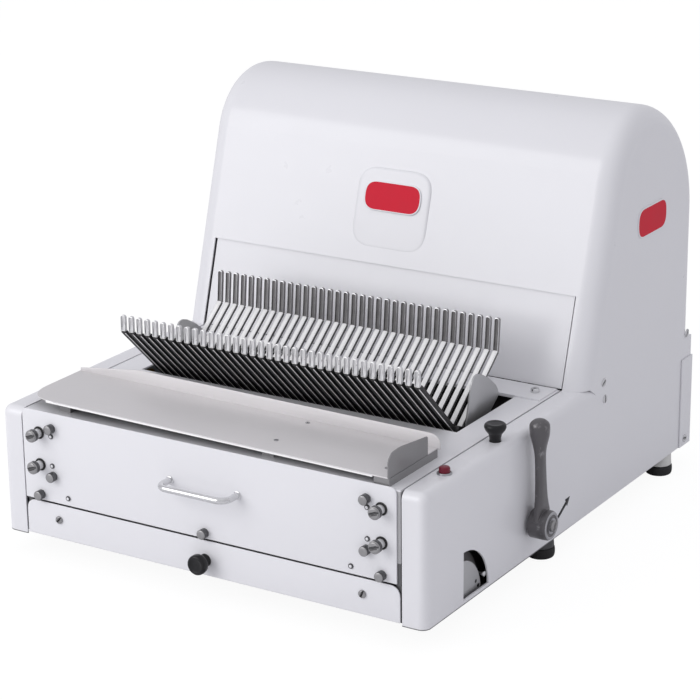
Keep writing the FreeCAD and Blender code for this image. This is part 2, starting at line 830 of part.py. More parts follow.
def front_handle():
    """Round bar bent into a bow, with its two feet on the panel."""
    depth = v.handle_reach - v.handle_rod
    span = v.handle_half_span
    bend = v.handle_bend
    turn = bend * (1 - math.sqrt(0.5))
    height = v.handle_height
    path = [
        Part.LineSegment(Vector(-span, 0, height), Vector(-span, bend - depth, height)),
        Part.Arc(Vector(-span, bend - depth, height), Vector(turn - span, turn - depth, height),
                 Vector(bend - span, -depth, height)),
        Part.LineSegment(Vector(bend - span, -depth, height), Vector(span - bend, -depth, height)),
        Part.Arc(Vector(span - bend, -depth, height), Vector(span - turn, turn - depth, height),
                 Vector(span, bend - depth, height)),
        Part.LineSegment(Vector(span, bend - depth, height), Vector(span, 0, height)),
    ]
    spine = Part.Wire([edge.toShape() for edge in path])
    section = Part.Wire(Part.Circle(Vector(-span, 0, height), Vector(0, 1, 0), v.handle_rod).toShape())
    return formed("handle", spine.makePipeShell([section], True, True))


# ---------------------------------------------------------------- crumb tray
DRAWER_FACE = "-drawer_proud"
DRAWER_BACK = "panel_sheet - drawer_proud"


def drawer_front():
    return panel_shape("drawer_panel", v.panel_left, "drawer_front_bottom", "drawer_front_top", v.drawer_corner,
                       DRAWER_FACE, DRAWER_BACK)


def drawer():
    bottom = "cover_bottom + pan_sheet + drawer_lift"
    block = box("drawer_block", ("-drawer_half_width", "drawer_half_width"),
                (DRAWER_BACK, f"{DRAWER_BACK} + drawer_depth"), (bottom, "drawer_wall_top"))
    hollow = box("drawer_hollow", ("-drawer_half_width + drawer_sheet", "drawer_half_width - drawer_sheet"),
                 (f"{DRAWER_BACK} + drawer_sheet", f"{DRAWER_BACK} + drawer_depth - drawer_sheet"),
                 (f"{bottom} + drawer_sheet", "drawer_wall_top + 1"))
    return cut("drawer_tray", block, hollow)


def drawer_knob():
    neck = rod("drawer_knob_neck", "y", "drawer_knob_radius / 2", "-drawer_knob_reach", DRAWER_FACE,
               x="0", z="drawer_knob_height")
    head = rod("drawer_knob_head", "y", "drawer_knob_radius", "-drawer_knob_reach", "-drawer_knob_reach / 2",
               x="0", z="drawer_knob_height")
    return fuse("drawer_knob", neck, head)


# ---------------------------------------------------------------- bagging tray
def shelf_height(x):
    """Height of the shelf's upper face at a place across the machine; it falls towards its fence."""
    return v.shelf_top + v.shelf_slope * (v.shelf_right - x) / (v.shelf_right + v.shelf_left)


def shelf_plate():
    """Sloping plate with one rounded front corner."""
    left, right, sheet = -v.shelf_left, v.shelf_right, v.shelf_sheet
    front, back, corner = v.shelf_front, v.shelf_back, v.shelf_corner
    section = polygon([(left, shelf_height(left)), (right, shelf_height(right)),
                       (right, shelf_height(right) - sheet), (left, shelf_height(left) - sheet)])
    slab = profile("shelf_slab", "y", section, "shelf_front", "shelf_back")
    plan = [
        line((left + corner, front), (right, front)),
        line((right, front), (right, back)),
        line((right, back), (left, back)),
        line((left, back), (left, front + corner)),
        arc((left + corner, front + corner), corner, 180, 270),
    ]
    blank = profile("shelf_blank", "z", plan, "deck_top", "shelf_top + shelf_slope + shelf_sheet")
    plate = doc.addObject("Part::MultiCommon", "shelf_plate")
    plate.Shapes = [slab, blank]
    return plate


def shelf_lip():
    """Upright strip along the shelf's rear edge: low at its left end, rounded at its right."""
    left, right, corner = -v.shelf_left, v.shelf_right + v.lip_reach, v.lip_corner
    under = -v.shelf_sheet
    turn = shelf_height(right - corner) + v.shelf_lip
    full = left + v.lip_taper
    outline = [
        line((left, shelf_height(left) + under), (right, shelf_height(right) + under)),
        line((right, shelf_height(right) + under), (right, turn - corner)),
        arc((right - corner, turn - corner), corner, 0, 90),
        line((right - corner, turn), (full, shelf_height(full) + v.shelf_lip)),
        line((full, shelf_height(full) + v.shelf_lip), (left, shelf_height(left) + v.lip_low_end)),
        line((left, shelf_height(left) + v.lip_low_end), (left, shelf_height(left) + under)),
    ]
    return profile("shelf_lip_strip", "y", outline, "shelf_back - shelf_sheet", "shelf_back")


def shelf_fence():
    """Upright cheek at the shelf's low end, stopping short of the lip."""
    front, back, step = v.shelf_front, v.fence_back, v.fence_cut
    bottom = v.shelf_top - v.shelf_sheet
    top = v.shelf_top + v.fence_height
    outline = polygon([
        (front, bottom), (back, bottom), (back, top - v.fence_fall), (front + v.fence_flat, top),
        (front + step, top - v.fence_drop), (front, top - step),
    ])
    return profile("shelf_fence", "x", outline, "shelf_right - shelf_sheet", "shelf_right")


def shelf_hem():
    """Strip folded down along the shelf's front edge, from its round corner to its last support."""
    left, right = v.shelf_corner - v.shelf_left, v.shelf_block_side
    outline = polygon([(left, shelf_height(left)), (right, shelf_height(right)),
                       (right, shelf_height(right) - v.hem_depth), (left, shelf_height(left) - v.hem_depth)])
    return profile("shelf_hem", "y", outline, "shelf_front", "shelf_front + hem_sheet")


def shelf():
    return fuse("shelf", shelf_plate(), shelf_lip(), shelf_hem(), shelf_fence())


def shelf_leg(name, low, high, front):
    """Bar between the deck and the shelf, from low to high across the machine."""
    under = v.shelf_sheet + v.shelf_play
    outline = polygon([(low, v.deck_top), (high, v.deck_top), (high, shelf_height(high) - under),
                       (low, shelf_height(low) - under)])
    return profile(name, "y", outline, front, "shelf_back - shelf_sheet")


def shelf_supports():
    half = v.shelf_leg_width / 2
    legs = [
        shelf_leg(f"shelf_leg_{number}", middle - half, middle + half, "shelf_front + shelf_corner / 2")
        for number, middle in enumerate((-v.shelf_leg_side, v.shelf_leg_middle))
    ]
    block = shelf_leg("shelf_block", v.shelf_block_side, v.shelf_right, "shelf_front + shelf_sheet")
    return group("shelf_legs", *legs, block)


def shelf_screws():
    """Low heads that hold the shelf down on its supports."""
    places = (("shelf_leg_middle", "shelf_screw_front"), ("shelf_leg_middle", "shelf_screw_rear"),
              ("shelf_screw_right", "shelf_screw_side_y"))
    face = "shelf_top + shelf_slope * (shelf_right - {} + shelf_screw_radius) / (shelf_right + shelf_left)"
    solids = []
    for number, (x, y) in enumerate(places):
        low = face.format(x)
        high = f"{low} + shelf_screw_head"
        solids.append(rod(f"shelf_screw_{number}", "z", "shelf_screw_radius", low, high, x=x, y=y))
    return group("screws_of_shelf", *solids)


# ---------------------------------------------------------------- combs
def finger_positions(count):
    """Middle planes of a comb's fingers, at the comb's pitch about the machine's middle."""
    return [(number - (count - 1) / 2) * v.comb_pitch for number in range(int(count))]


def finger(base, knee, tip):
    """Straight shank and round-ended tip of a bent finger, centred on x = 0; points are (y, z)."""
    half = v.finger_depth / 2
    low, bend, end = (Vector(0, *point) for point in (base, knee, tip))
    first = (bend - low).normalize()
    second = (end - bend).normalize()
    side_a = Vector(0, first.z, -first.y)
    side_b = Vector(0, second.z, -second.y)
    mitre = (side_a + side_b).normalize()
    mitre = mitre * (half / mitre.dot(side_a))
    crown = end - second * half
    knee_edge = Part.LineSegment(bend - mitre, bend + mitre)
    shank = [
        Part.LineSegment(low + side_a * half, bend + mitre),
        knee_edge,
        Part.LineSegment(bend - mitre, low - side_a * half),
        Part.LineSegment(low - side_a * half, low + side_a * half),
    ]
    top = [
        Part.LineSegment(bend + mitre, crown + side_b * half),
        Part.Arc(crown + side_b * half, end, crown - side_b * half),
        Part.LineSegment(crown - side_b * half, bend - mitre),
        knee_edge,
    ]
    solids = []
    for edges in (shank, top):
        face = Part.Face(Part.Wire(Part.__sortEdges__([edge.toShape() for edge in edges])))
        face.translate(Vector(-v.finger_width / 2, 0, 0))
        solids.append(face.extrude(Vector(v.finger_width, 0, 0)))
    return solids


def comb_fingers(name, count, pattern):
    """Row of one solid at a comb's pitch."""
    solids = [pattern.translated(Vector(x, 0, 0)) for x in finger_positions(count)]
    return formed(name, Part.makeCompound(solids))


FRONT_BASE = (v.front_base_y, v.front_base_z)
FRONT_KNEE = (v.front_knee_y, v.front_knee_z)
FRONT_TIP = (v.front_knee_y, v.front_tip_z)
REAR_BASE = (v.rear_base_y, v.rear_base_z)
REAR_KNEE = (v.rear_knee_y, v.rear_knee_z)
REAR_TIP = (v.rear_tip_y, v.rear_tip_z)
FRONT_SHANK, FRONT_POINT = finger(FRONT_BASE, FRONT_KNEE, FRONT_TIP)
REAR_SHANK, REAR_POINT = finger(REAR_BASE, REAR_KNEE, REAR_TIP)


def comb_bar(name, base, knee, pivot, pivot_names):
    """Bar that carries a comb's fingers on its top face and clamps round the comb's shaft."""
    foot, bend, centre = (Vector(0, *point) for point in (base, knee, pivot))
    along = (bend - foot).normalize()
    across = Vector(0, along.z, -along.y) * v.comb_bar_half
    reach = v.shaft_radius + v.bearing_wall
    down = Vector(0, 0, -1)
    points = [foot + across, foot - across, centre - Vector(0, reach, 0), centre + down * reach,
              centre + Vector(0, reach, 0)]
    if across.y < 0:
        points = [foot - across, foot + across] + points[2:]
    outline = polygon([(point.y, point.z) for point in points])
    bar = profile(f"{name}_blank", "x", outline, "-end_plate_inner", "end_plate_inner")
    bore = rod(f"{name}_bore", "x", "shaft_radius", "-end_plate_inner - 1", "end_plate_inner + 1",
               y=pivot_names[0], z=pivot_names[1])
    return cut(name, bar, bore)


def comb_backing():
    """Dark sheet behind the front fingers, from under the knees down, one corner cut off."""
    low, bend = Vector(0, *FRONT_BASE), Vector(0, *FRONT_KNEE)
    along = (bend - low).normalize()
    behind = Vector(0, along.z, -along.y)
    start = low + behind * (v.finger_depth / 2) + along * v.backing_gap
    length = (bend - low).Length - 2 * v.backing_gap
    side = (v.front_fingers - 1) / 2 * v.comb_pitch + v.finger_width / 2
    cut_in, cut_down = v.backing_cut_in, v.backing_cut
    corners = [(-side, 0), (side, 0), (side, length), (cut_in - side, length), (-side, length - cut_down)]
    points = [start + ALONG_X * x + along * up for x, up in corners]
    face = Part.Face(Part.makePolygon(points + points[:1]))
    return formed("backing", face.extrude(behind * v.backing_sheet))


CHEEK = [(-0.1, 0.39), (-0.04, 0.64), (0.02, 0.89), (0.06, 0.99), (0.13, 1.07), (0.23, 1.09), (0.37, 1.05),
         (0.62, 0.91), (0.86, 0.72), (0.93, 0.62), (0.95, 0.52), (0.47, 0.19)]


def end_plates():
    """Rounded cheeks at the rear comb's ends, clamped between its bar and its shaft.

    The outline's corners are parts of the cheek's size, from the shaft's centre.
    """
    reach = v.shaft_radius + v.bearing_wall
    corners = [(v.rear_pivot_y + y * v.cheek_size, v.rear_pivot_z + z * v.cheek_size) for y, z in CHEEK]
    points = [(v.rear_pivot_y - reach, v.rear_pivot_z), *corners, (v.rear_pivot_y + reach, v.rear_pivot_z),
              (v.rear_pivot_y, v.rear_pivot_z - reach)]
    solids = []
    for side, sign in (("left", "-"), ("right", "")):
        near, far = "end_plate_inner", "end_plate_inner + end_plate_sheet"
        low, high = (near, far) if sign == "" else (f"-({far})", f"-({near})")
        cheek = profile(f"{side}_cheek", "x", polygon(points), low, high)
        bore = rod(f"{side}_cheek_bore", "x", "shaft_radius", low, high, y="rear_pivot_y", z="rear_pivot_z")
        solids.append(cut(f"{side}_end_plate", cheek, bore))
    return group("end_plate_pair", *solids)


def comb_shaft(name, y, z, right_end):
    return rod(name, "x", "shaft_radius", "-(frame_inner + frame_sheet)", right_end, y=y, z=z)


# ---------------------------------------------------------------- lever and chain
def crank_lever():
    """Hub, tapering flat arm and round grip of the feed lever, upright at rest."""
    hub = rod("lever_hub", "x", "lever_hub_radius", "lever_hub_inner", "lever_hub_outer",
              y="lever_y", z="lever_z")
    centre = Vector(0, v.lever_y, v.lever_z)
    ball = Vector(0, v.lever_ball_y, v.lever_ball_z)
    along = (ball - centre).normalize()
    across = Vector(0, along.z, -along.y)
    neck = ball - along * (2 * v.lever_ball_radius)
    points = [centre - across * v.lever_root_radius, centre + across * v.lever_root_radius,
              neck + across * v.lever_neck_radius, neck - across * v.lever_neck_radius]
    arm = profile("lever_arm", "x", polygon([(point.y, point.z) for point in points]),
                  "lever_arm_middle - lever_arm_half", "lever_arm_middle + lever_arm_half")
    grip_middle = ALONG_X * v.lever_arm_middle
    cone = Part.makeCone(v.lever_neck_radius, v.lever_ball_radius, 2 * v.lever_ball_radius,
                         neck + grip_middle, along)
    sphere = Part.makeSphere(v.lever_ball_radius, ball + grip_middle)
    grip = formed("lever_grip", cone.fuse(sphere))
    bore = rod("lever_bore", "x", "lever_shaft_radius", "lever_hub_inner - 1", "lever_hub_outer + 1",
               y="lever_y", z="lever_z")
    return cut("lever", fuse("lever_body", hub, arm, grip), bore)


def feed_shaft():
    return rod("feed_rod", "x", "lever_shaft_radius", "-(frame_inner + frame_sheet)", "lever_hub_outer",
               y="lever_y", z="lever_z")


def wheel(name, radius, bore, low, width, y, z):
    disc = rod(f"{name}_disc", "x", radius, low, f"{low} + {width}", y=y, z=z)
    hole = rod(f"{name}_hole", "x", bore, f"{low} - 1", f"{low} + {width} + 1", y=y, z=z)
    return cut(name, disc, hole)


def loop(name, first, second, thickness, low, high):
    """Belt or chain round two wheels, each given as (centre y, centre z, radius), clear of both."""
    def hull(grow):
        (y1, z1, r1), (y2, z2, r2) = first, second
        r1, r2 = r1 + grow, r2 + grow
        span = math.hypot(y2 - y1, z2 - z1)
        heading = math.degrees(math.atan2(z2 - z1, y2 - y1))
        lean = math.degrees(math.acos((r1 - r2) / span))
        def edge(y, z, radius, angle):
            return (y + radius * math.cos(math.radians(angle)), z + radius * math.sin(math.radians(angle)))
        left, right = heading + lean, heading - lean
        return [
            arc((y1, z1), r1, left, right + 360),
            line(edge(y1, z1, r1, right), edge(y2, z2, r2, right)),
            arc((y2, z2), r2, right, left),
            line(edge(y2, z2, r2, left), edge(y1, z1, r1, left)),
        ]
    outer = profile(f"{name}_outer", "x", hull(v.clearance + thickness), low, high)
    inner = profile(f"{name}_inner", "x", hull(v.clearance), f"{low} - 1", f"{high} + 1")
    return cut(name, outer, inner)


# ---------------------------------------------------------------- blade frames
def blade_frame(name, near, bottom, top):
    into = (near, f"{near} + frame_bar")
    bars = [
        leaning_box(f"{name}_bottom", ("-frame_side_outer", "frame_side_outer"), into,
                    (bottom, f"{bottom} + frame_bar_height")),
        leaning_box(f"{name}_top", ("-frame_side_outer", "frame_side_outer"), into,
                    (top, f"{top} + frame_bar_height")),
    ]
    for side, low, high in (("left", "-frame_side_outer", "-frame_side_inner"),
                            ("right", "frame_side_inner", "frame_side_outer")):
        bars.append(leaning_box(f"{name}_{side}", (low, high), into, (bottom, f"{top} + frame_bar_height")))
    return fuse(name, *bars)


def blades(name, near, bottom, top, first):
    """Every second blade of the slicing pitch, stretched between a frame's two bars."""
    middle = near + v.frame_bar / 2
    low = bottom + v.frame_bar_height
    corner = Vector(0, v.hood_foot, v.deck_top) + INTO_HOOD * (middle - v.blade_depth / 2) + UP_HOOD * low
    pattern = Part.makeBox(v.blade_thickness, v.blade_depth, top - low)
    pattern.Placement = Placement(corner, Rotation(ALONG_X, -v.hood_lean))
    solids = [
        pattern.translated(Vector(x - v.blade_thickness / 2, 0, 0))
        for x in finger_positions(v.rear_fingers)[first::2]
    ]
    return formed(name, Part.makeCompound(solids))


def frame_guides():
    solids = []
    for side, sign in (("left", "-"), ("right", "")):
        def span(low, high, sign=sign):
            return (low, high) if sign == "" else (f"-({high})", f"-({low})")
        block = leaning_box(f"{side}_guide_block", span("guide_inner", "frame_inner"),
                            ("guide_near", "guide_far"), ("guide_bottom", "guide_top"))
        slots = [
            leaning_box(f"{side}_{name}_slot", span("guide_inner - 1", "frame_side_outer + clearance"),
                        (f"{name}_near - clearance", f"{name}_near + frame_bar + clearance"),
                        ("guide_bottom - guide_slot_reach", "guide_top + 1"))
            for name in ("front_frame", "rear_frame")
        ]
        solids.append(cut(f"{side}_frame_guide", block, *slots))
    return group("guides_of_frames", *solids)


def drive_rod(name, x, near, bottom):
    """Link that hangs from a blade frame's bottom bar and ends beside its eccentric."""
    foot = Vector(0, v.hood_foot, v.deck_top) + UP_HOOD * bottom
    first = foot + INTO_HOOD * near
    last = foot + INTO_HOOD * (near + v.frame_bar)
    centre = Vector(0, v.eccentric_y, v.eccentric_z)
    stop = v.eccentric_shaft_radius + 2 * v.eccentric_offset
    points = [(first.y, first.z), (last.y, last.z), (last.y, last.z - v.rod_drop),
              (centre.y - stop, centre.z + v.rod_end),
              (centre.y - stop, centre.z), (last.y, last.z - v.rod_drop - 2 * v.frame_bar_height),
              (first.y, first.z - v.rod_drop)]
    return profile(name, "x", polygon(points), x, f"{x} + rod_width")


def eccentric_shaft():
    """Cross shaft with one eccentric disc for each blade frame, half a turn apart."""
    shaft = rod("eccentric_rod", "x", "eccentric_shaft_radius", "-(frame_inner + frame_sheet)",
                "wheel_inner + pulley_width", y="eccentric_y", z="eccentric_z")
    discs = [
        rod(f"eccentric_disc_{name}", "x", "eccentric_radius", f"{x} + rod_width + clearance",
            f"{x} + rod_width + clearance + eccentric_width",
            y="eccentric_y", z=f"eccentric_z {sign} eccentric_offset")
        for name, x, sign in (("front", "front_rod_x", "+"), ("rear", "rear_rod_x", "-"))
    ]
    return fuse("eccentrics", shaft, *discs)


# ---------------------------------------------------------------- motor
def motor():
    return rod("motor_can", "x", "motor_radius", "motor_end - motor_length", "motor_end",
               y="motor_y", z="motor_z")


def motor_cradle():
    """Block under the motor, hollowed to its round."""
    low, high = "motor_end - motor_length + cradle_inset", "motor_end - cradle_inset"
    block = box("cradle_block", (low, high), ("motor_y - cradle_half_width", "motor_y + cradle_half_width"),
                ("cover_bottom + pan_sheet", "motor_z - motor_radius / 2"))
    hollow = rod("cradle_round", "x", "motor_radius", low, high, y="motor_y", z="motor_z")
    return cut("cradle", block, hollow)


def motor_pulley():
    shaft = rod("motor_shaft", "x", "motor_shaft_radius", "motor_end + clearance",
                "wheel_inner + pulley_width", y="motor_y", z="motor_z")
    disc = rod("motor_pulley_disc", "x", "motor_pulley_radius", "wheel_inner", "wheel_inner + pulley_width",
               y="motor_y", z="motor_z")
    return fuse("motor_rotor", shaft, disc)


# ---------------------------------------------------------------- controls, window and plates
def start_knob():
    head = rod("knob_cap", "z", "knob_radius", "deck_top + knob_height - knob_head", "deck_top + knob_height",
               x="knob_side", y="knob_y")
    stem = rod("knob_stem", "z", "knob_stem_radius", "deck_top - control_depth", "deck_top + knob_height",
               x="knob_side", y="knob_y")
    return fuse("knob", head, stem)


def stop_button():
    return rod("button_cap", "z", "button_radius", "deck_top - control_depth", "deck_top + button_height",
               x="button_side", y="button_y")


def button_bezel():
    ring = rod("bezel_ring", "z", "bezel_radius", "deck_top", "deck_top + bezel_height",
               x="button_side", y="button_y")
    bore = rod("bezel_bore", "z", "button_radius + clearance", "deck_top - 1", "deck_top + bezel_height + 1",
               x="button_side", y="button_y")
    return cut("bezel", ring, bore)


def quadrant_plate():
    """Quarter disc behind the window, fixed to the side frame by a stand-off, with its pin."""
    low = "half_width - cover_sheet - 2 * quadrant_sheet"
    high = "half_width - cover_sheet - quadrant_sheet"
    disc = rod("quadrant_disc", "x", "quadrant_radius", low, high, y="window_y", z="window_z")
    square = box("quadrant_square", (low, high), ("window_y", "window_y + quadrant_radius"),
                 ("window_z", "window_z + quadrant_radius"))
    quarter = doc.addObject("Part::MultiCommon", "quadrant")
    quarter.Shapes = [disc, square]
    post = box("quadrant_post", ("frame_inner + frame_sheet", low), ("window_y", "window_y + quadrant_post"),
               ("window_z", "window_z + quadrant_post"))
    return fuse("quadrant_piece", quarter, post)


def rounded_plate(name, half_width, bottom, top, corner, near, thickness):
    """Plate with round corners that lies on the hood's leaning face."""
    left, right = v.emblem_side - half_width, v.emblem_side + half_width
    low, high = bottom, top
    outline = [
        line((left + corner, low), (right - corner, low)),
        arc((right - corner, low + corner), corner, 270, 360),
        line((right, low + corner), (right, high - corner)),
        arc((right - corner, high - corner), corner, 0, 90),
        line((right - corner, high), (left + corner, high)),
        arc((left + corner, high - corner), corner, 90, 180),
        line((left, high - corner), (left, low + corner)),
        arc((left + corner, low + corner), corner, 180, 270),
    ]
    wire = Part.Wire([edge.toShape() for edge in outline])
    plate = Part.Face(wire).extrude(Vector(0, 0, thickness))
    upright = Rotation(ALONG_X, 90 - v.hood_lean)
    plate.Placement = Placement(Vector(0, v.hood_foot, v.deck_top) - INTO_HOOD * near, upright)
    return formed(name, plate)


def emblem_plate():
    return rounded_plate("emblem", v.emblem_half_width, v.emblem_bottom, v.emblem_top, v.emblem_corner,
                         0, v.emblem_sheet)


def badges():
    middle = v.emblem_top - v.badge_drop
    low, high = middle - v.badge_half_height, middle + v.badge_half_height
    front = rounded_plate("front_badge", v.badge_half_width, low, high, v.badge_half_height / 2,
                          v.emblem_sheet, v.badge_sheet)
    side = box("side_badge", ("half_width", "half_width + badge_sheet"),
               ("side_badge_y - badge_half_width", "side_badge_y + badge_half_width"),
               ("side_badge_z - badge_half_height", "side_badge_z + badge_half_height"))
    return group("badge_pair", front, side)


SIDE_SCREWS = [
    ("hood", "hood_screw_y", "deck_top", "half_width"),
    ("cover", "cover_screw_y", "hood_seam_height - hood_seam_drop", "half_width"),
    ("rear", "rear_screw_y", "cover_bottom + rear_screw_inset", COVER_FACE),
    ("rear_top", "rear_screw_y", "hood_seam_height + nut_radius", "half_width"),
]


def hood_screws():
    """Round heads that hold the hood, the sill and the rear cover."""
    solids = []
    for side, sign, outward in (("left", "-", -1), ("right", "", 1)):
        solids.append(rod(f"{side}_sill_nut", "z", "nut_radius", "deck_top + sill_sheet",
                          "deck_top + sill_sheet + sill_nut_height", x=f"{sign}sill_nut_side", y="sill_nut_y"))
        for name, y, z, face in SIDE_SCREWS:
            low, high = (face, f"{face} + screw_head / 2") if outward > 0 else (
                f"-({face} + screw_head / 2)", f"-{face}")
            solids.append(rod(f"{side}_{name}_screw", "x", "nut_radius", low, high, y=y, z=z))
    return group("screws_of_hood", *solids)


node("base_pan", base_pan())
node("rubber_feet", feet("foot", "foot_radius", "0", "foot_height"))
node("foot_spacers", feet("spacer", "spacer_radius", "foot_height", "cover_bottom"))
node("left_side_frame", side_frame("left", "-"))
node("right_side_frame", side_frame("right", ""))
node("shaft_bearings", bearings())
node("deck_plate", deck_plate())
node("chute_plates", chute_plates())
node("left_side_cover", mirrored("left_cover", side_cover("left_cover_shell")))
node("right_side_cover", right_cover())
node("hood", hood())
node("loaf_door", loaf_door())
node("door_guides", door_guides())
node("throat_sill", throat_sill())
node("rear_cover", rear_cover())
node("power_gland", power_gland())
node("hood_screws", hood_screws())
node("emblem_plate", emblem_plate())
node("badge_plaques", badges())
node("front_panel", front_panel())
node("front_handle", front_handle())
node("guide_studs", guide_studs())
node("panel_nuts", caps("panel_nut", NUTS, "nut_radius", "nut_height"))
node("panel_screws", caps("panel_screw", PANEL_SCREWS, "screw_radius", "screw_head"))
node("crumb_tray", drawer())
node("crumb_tray_front", drawer_front())
node("crumb_tray_knob", drawer_knob())
node("crumb_tray_screws",
     caps("tray_screw", TRAY_SCREWS, "tray_screw_radius", "tray_screw_head", DRAWER_FACE))
node("bagging_tray", shelf())
node("bagging_tray_supports", shelf_supports())
node("bagging_tray_screws", shelf_screws())
node("front_comb_fingers", comb_fingers("front_comb", v.front_fingers, FRONT_SHANK))
node("front_comb_tips", comb_fingers("front_comb_ends", v.front_fingers, FRONT_POINT))
node("front_comb_bar", comb_bar("front_bar", FRONT_BASE, FRONT_KNEE, (v.front_pivot_y, v.front_pivot_z),
                                ("front_pivot_y", "front_pivot_z")))
node("front_comb_backing", comb_backing())
node("front_comb_shaft",
     comb_shaft("front_shaft", "front_pivot_y", "front_pivot_z", "wheel_inner + chain_width"))
node("front_comb_sprocket", wheel("comb_sprocket", "comb_sprocket_radius", "shaft_radius", "wheel_inner",
                                  "chain_width", "front_pivot_y", "front_pivot_z"))
node("rear_comb_fingers", comb_fingers("rear_comb", v.rear_fingers, REAR_SHANK))
node("rear_comb_tips", comb_fingers("rear_comb_ends", v.rear_fingers, REAR_POINT))
node("rear_comb_bar", comb_bar("rear_bar", REAR_BASE, REAR_KNEE, (v.rear_pivot_y, v.rear_pivot_z),
                               ("rear_pivot_y", "rear_pivot_z")))
node("rear_comb_shaft", comb_shaft("rear_shaft", "rear_pivot_y", "rear_pivot_z", "frame_inner + frame_sheet"))
node("comb_end_plates", end_plates())
node("crank_lever", crank_lever())
node("lever_bolt", rod("bolt", "x", "lever_bolt_radius", "lever_hub_outer",
                       "lever_hub_outer + lever_bolt_head", y="lever_y", z="lever_z"))
node("feed_shaft", feed_shaft())
node("feed_sprocket", wheel("lever_sprocket", "lever_sprocket_radius", "lever_shaft_radius", "wheel_inner",
                            "chain_width", "lever_y", "lever_z"))
node("feed_chain", loop("chain", (v.lever_y, v.lever_z, v.lever_sprocket_radius),
                        (v.front_pivot_y, v.front_pivot_z, v.comb_sprocket_radius), v.chain_thickness,
                        "wheel_inner", "wheel_inner + chain_width"))
node("front_blade_frame", blade_frame("front_frame", "front_frame_near", "front_frame_bottom", "blade_top"))
node("rear_blade_frame", blade_frame("rear_frame", "rear_frame_near", "rear_frame_bottom", "blade_top"))
node("front_blades", blades("front_blade_set", v.front_frame_near, v.front_frame_bottom, v.blade_top, 0))
node("rear_blades", blades("rear_blade_set", v.rear_frame_near, v.rear_frame_bottom, v.blade_top, 1))
node("frame_guides", frame_guides())
node("front_drive_rod", drive_rod("front_rod", "front_rod_x", v.front_frame_near, v.front_frame_bottom))
node("rear_drive_rod", drive_rod("rear_rod", "rear_rod_x", v.rear_frame_near, v.rear_frame_bottom))
node("eccentric_shaft", eccentric_shaft())
node("driven_pulley", wheel("big_pulley", "driven_pulley_radius", "eccentric_shaft_radius", "wheel_inner",
                            "pulley_width", "eccentric_y", "eccentric_z"))
node("drive_belt", loop("belt", (v.eccentric_y, v.eccentric_z, v.driven_pulley_radius),
                        (v.motor_y, v.motor_z, v.motor_pulley_radius), v.belt_thickness,
                        "wheel_inner", "wheel_inner + pulley_width"))
node("motor", motor())
node("motor_cradle", motor_cradle())
node("motor_pulley", motor_pulley())
node("start_knob", start_knob())
node("stop_button", stop_button())
node("button_bezel", button_bezel())
node("quadrant_plate", quadrant_plate())

doc.recompute()

os.makedirs("parts", exist_ok=True)
for thing in doc.Objects:
    if {"Invalid", "Error"} & set(thing.State):
        raise RuntimeError(f"{thing.Label} did not build: {thing.State}")
for piece in nodes:
    shape = piece.Shape
    if shape.isNull() or not shape.isValid():
        raise RuntimeError(f"{piece.Label} has no valid shape")
    shape.exportStep(f"parts/{piece.Label}.step")
print(len(nodes), "nodes")
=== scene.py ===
"""Countertop bread slicer with a hand lever, dressed over its fixed frame.

The frame is in metres, with its origin at the middle of the footprint. The sizes below
are in machine millimetres: x to the operator's right from the body's middle, y back from
the front panel's face, z up from the table. MACHINE is where that origin lies in the frame.
"""

from __future__ import annotations

import logging
import math
from dataclasses import dataclass
from enum import Enum
from typing import Any, Sequence

import bmesh
import bpy
import numpy as np
from mathutils import Matrix, Vector


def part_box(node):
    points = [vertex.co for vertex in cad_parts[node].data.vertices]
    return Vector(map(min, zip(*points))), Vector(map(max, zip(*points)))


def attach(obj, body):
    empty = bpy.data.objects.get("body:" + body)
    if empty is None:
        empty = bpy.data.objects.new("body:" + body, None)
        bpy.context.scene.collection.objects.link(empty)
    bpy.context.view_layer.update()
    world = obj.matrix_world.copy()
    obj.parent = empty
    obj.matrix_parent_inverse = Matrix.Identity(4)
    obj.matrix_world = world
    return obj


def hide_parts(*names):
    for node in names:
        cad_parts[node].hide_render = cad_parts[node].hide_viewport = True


LOG = logging.getLogger("bread_slicer")

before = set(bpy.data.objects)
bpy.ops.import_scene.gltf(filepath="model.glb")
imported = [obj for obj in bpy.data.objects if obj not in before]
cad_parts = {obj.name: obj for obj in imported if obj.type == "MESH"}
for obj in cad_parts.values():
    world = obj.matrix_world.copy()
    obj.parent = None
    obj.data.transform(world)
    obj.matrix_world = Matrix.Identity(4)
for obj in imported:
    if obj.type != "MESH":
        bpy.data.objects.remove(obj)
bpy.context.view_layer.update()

MM = 0.001

Points = np.ndarray
Floats = Sequence[float]
Pair = tuple[float, float]
Triple = tuple[float, float, float]
Colour = Triple
Across = tuple[Floats, Floats]
Marks = int | Sequence[int]


def machine_origin() -> np.ndarray:
    """Place of the machine's own origin, read from the deck and the front panel.

    Returns:
        The point on the table under the panel's face, in the deck's middle.
    """
    low, high = (np.array(corner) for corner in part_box("deck_plate"))
    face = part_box("front_panel")[0][1]
    return np.array(((low[0] + high[0]) / 2, face, 0.0))


MACHINE = machine_origin()


def place(x: float, y: float, z: float) -> np.ndarray:
    """Turn machine millimetres into a point of the frame, in metres."""
    return MACHINE + np.array((x, y, z)) * MM


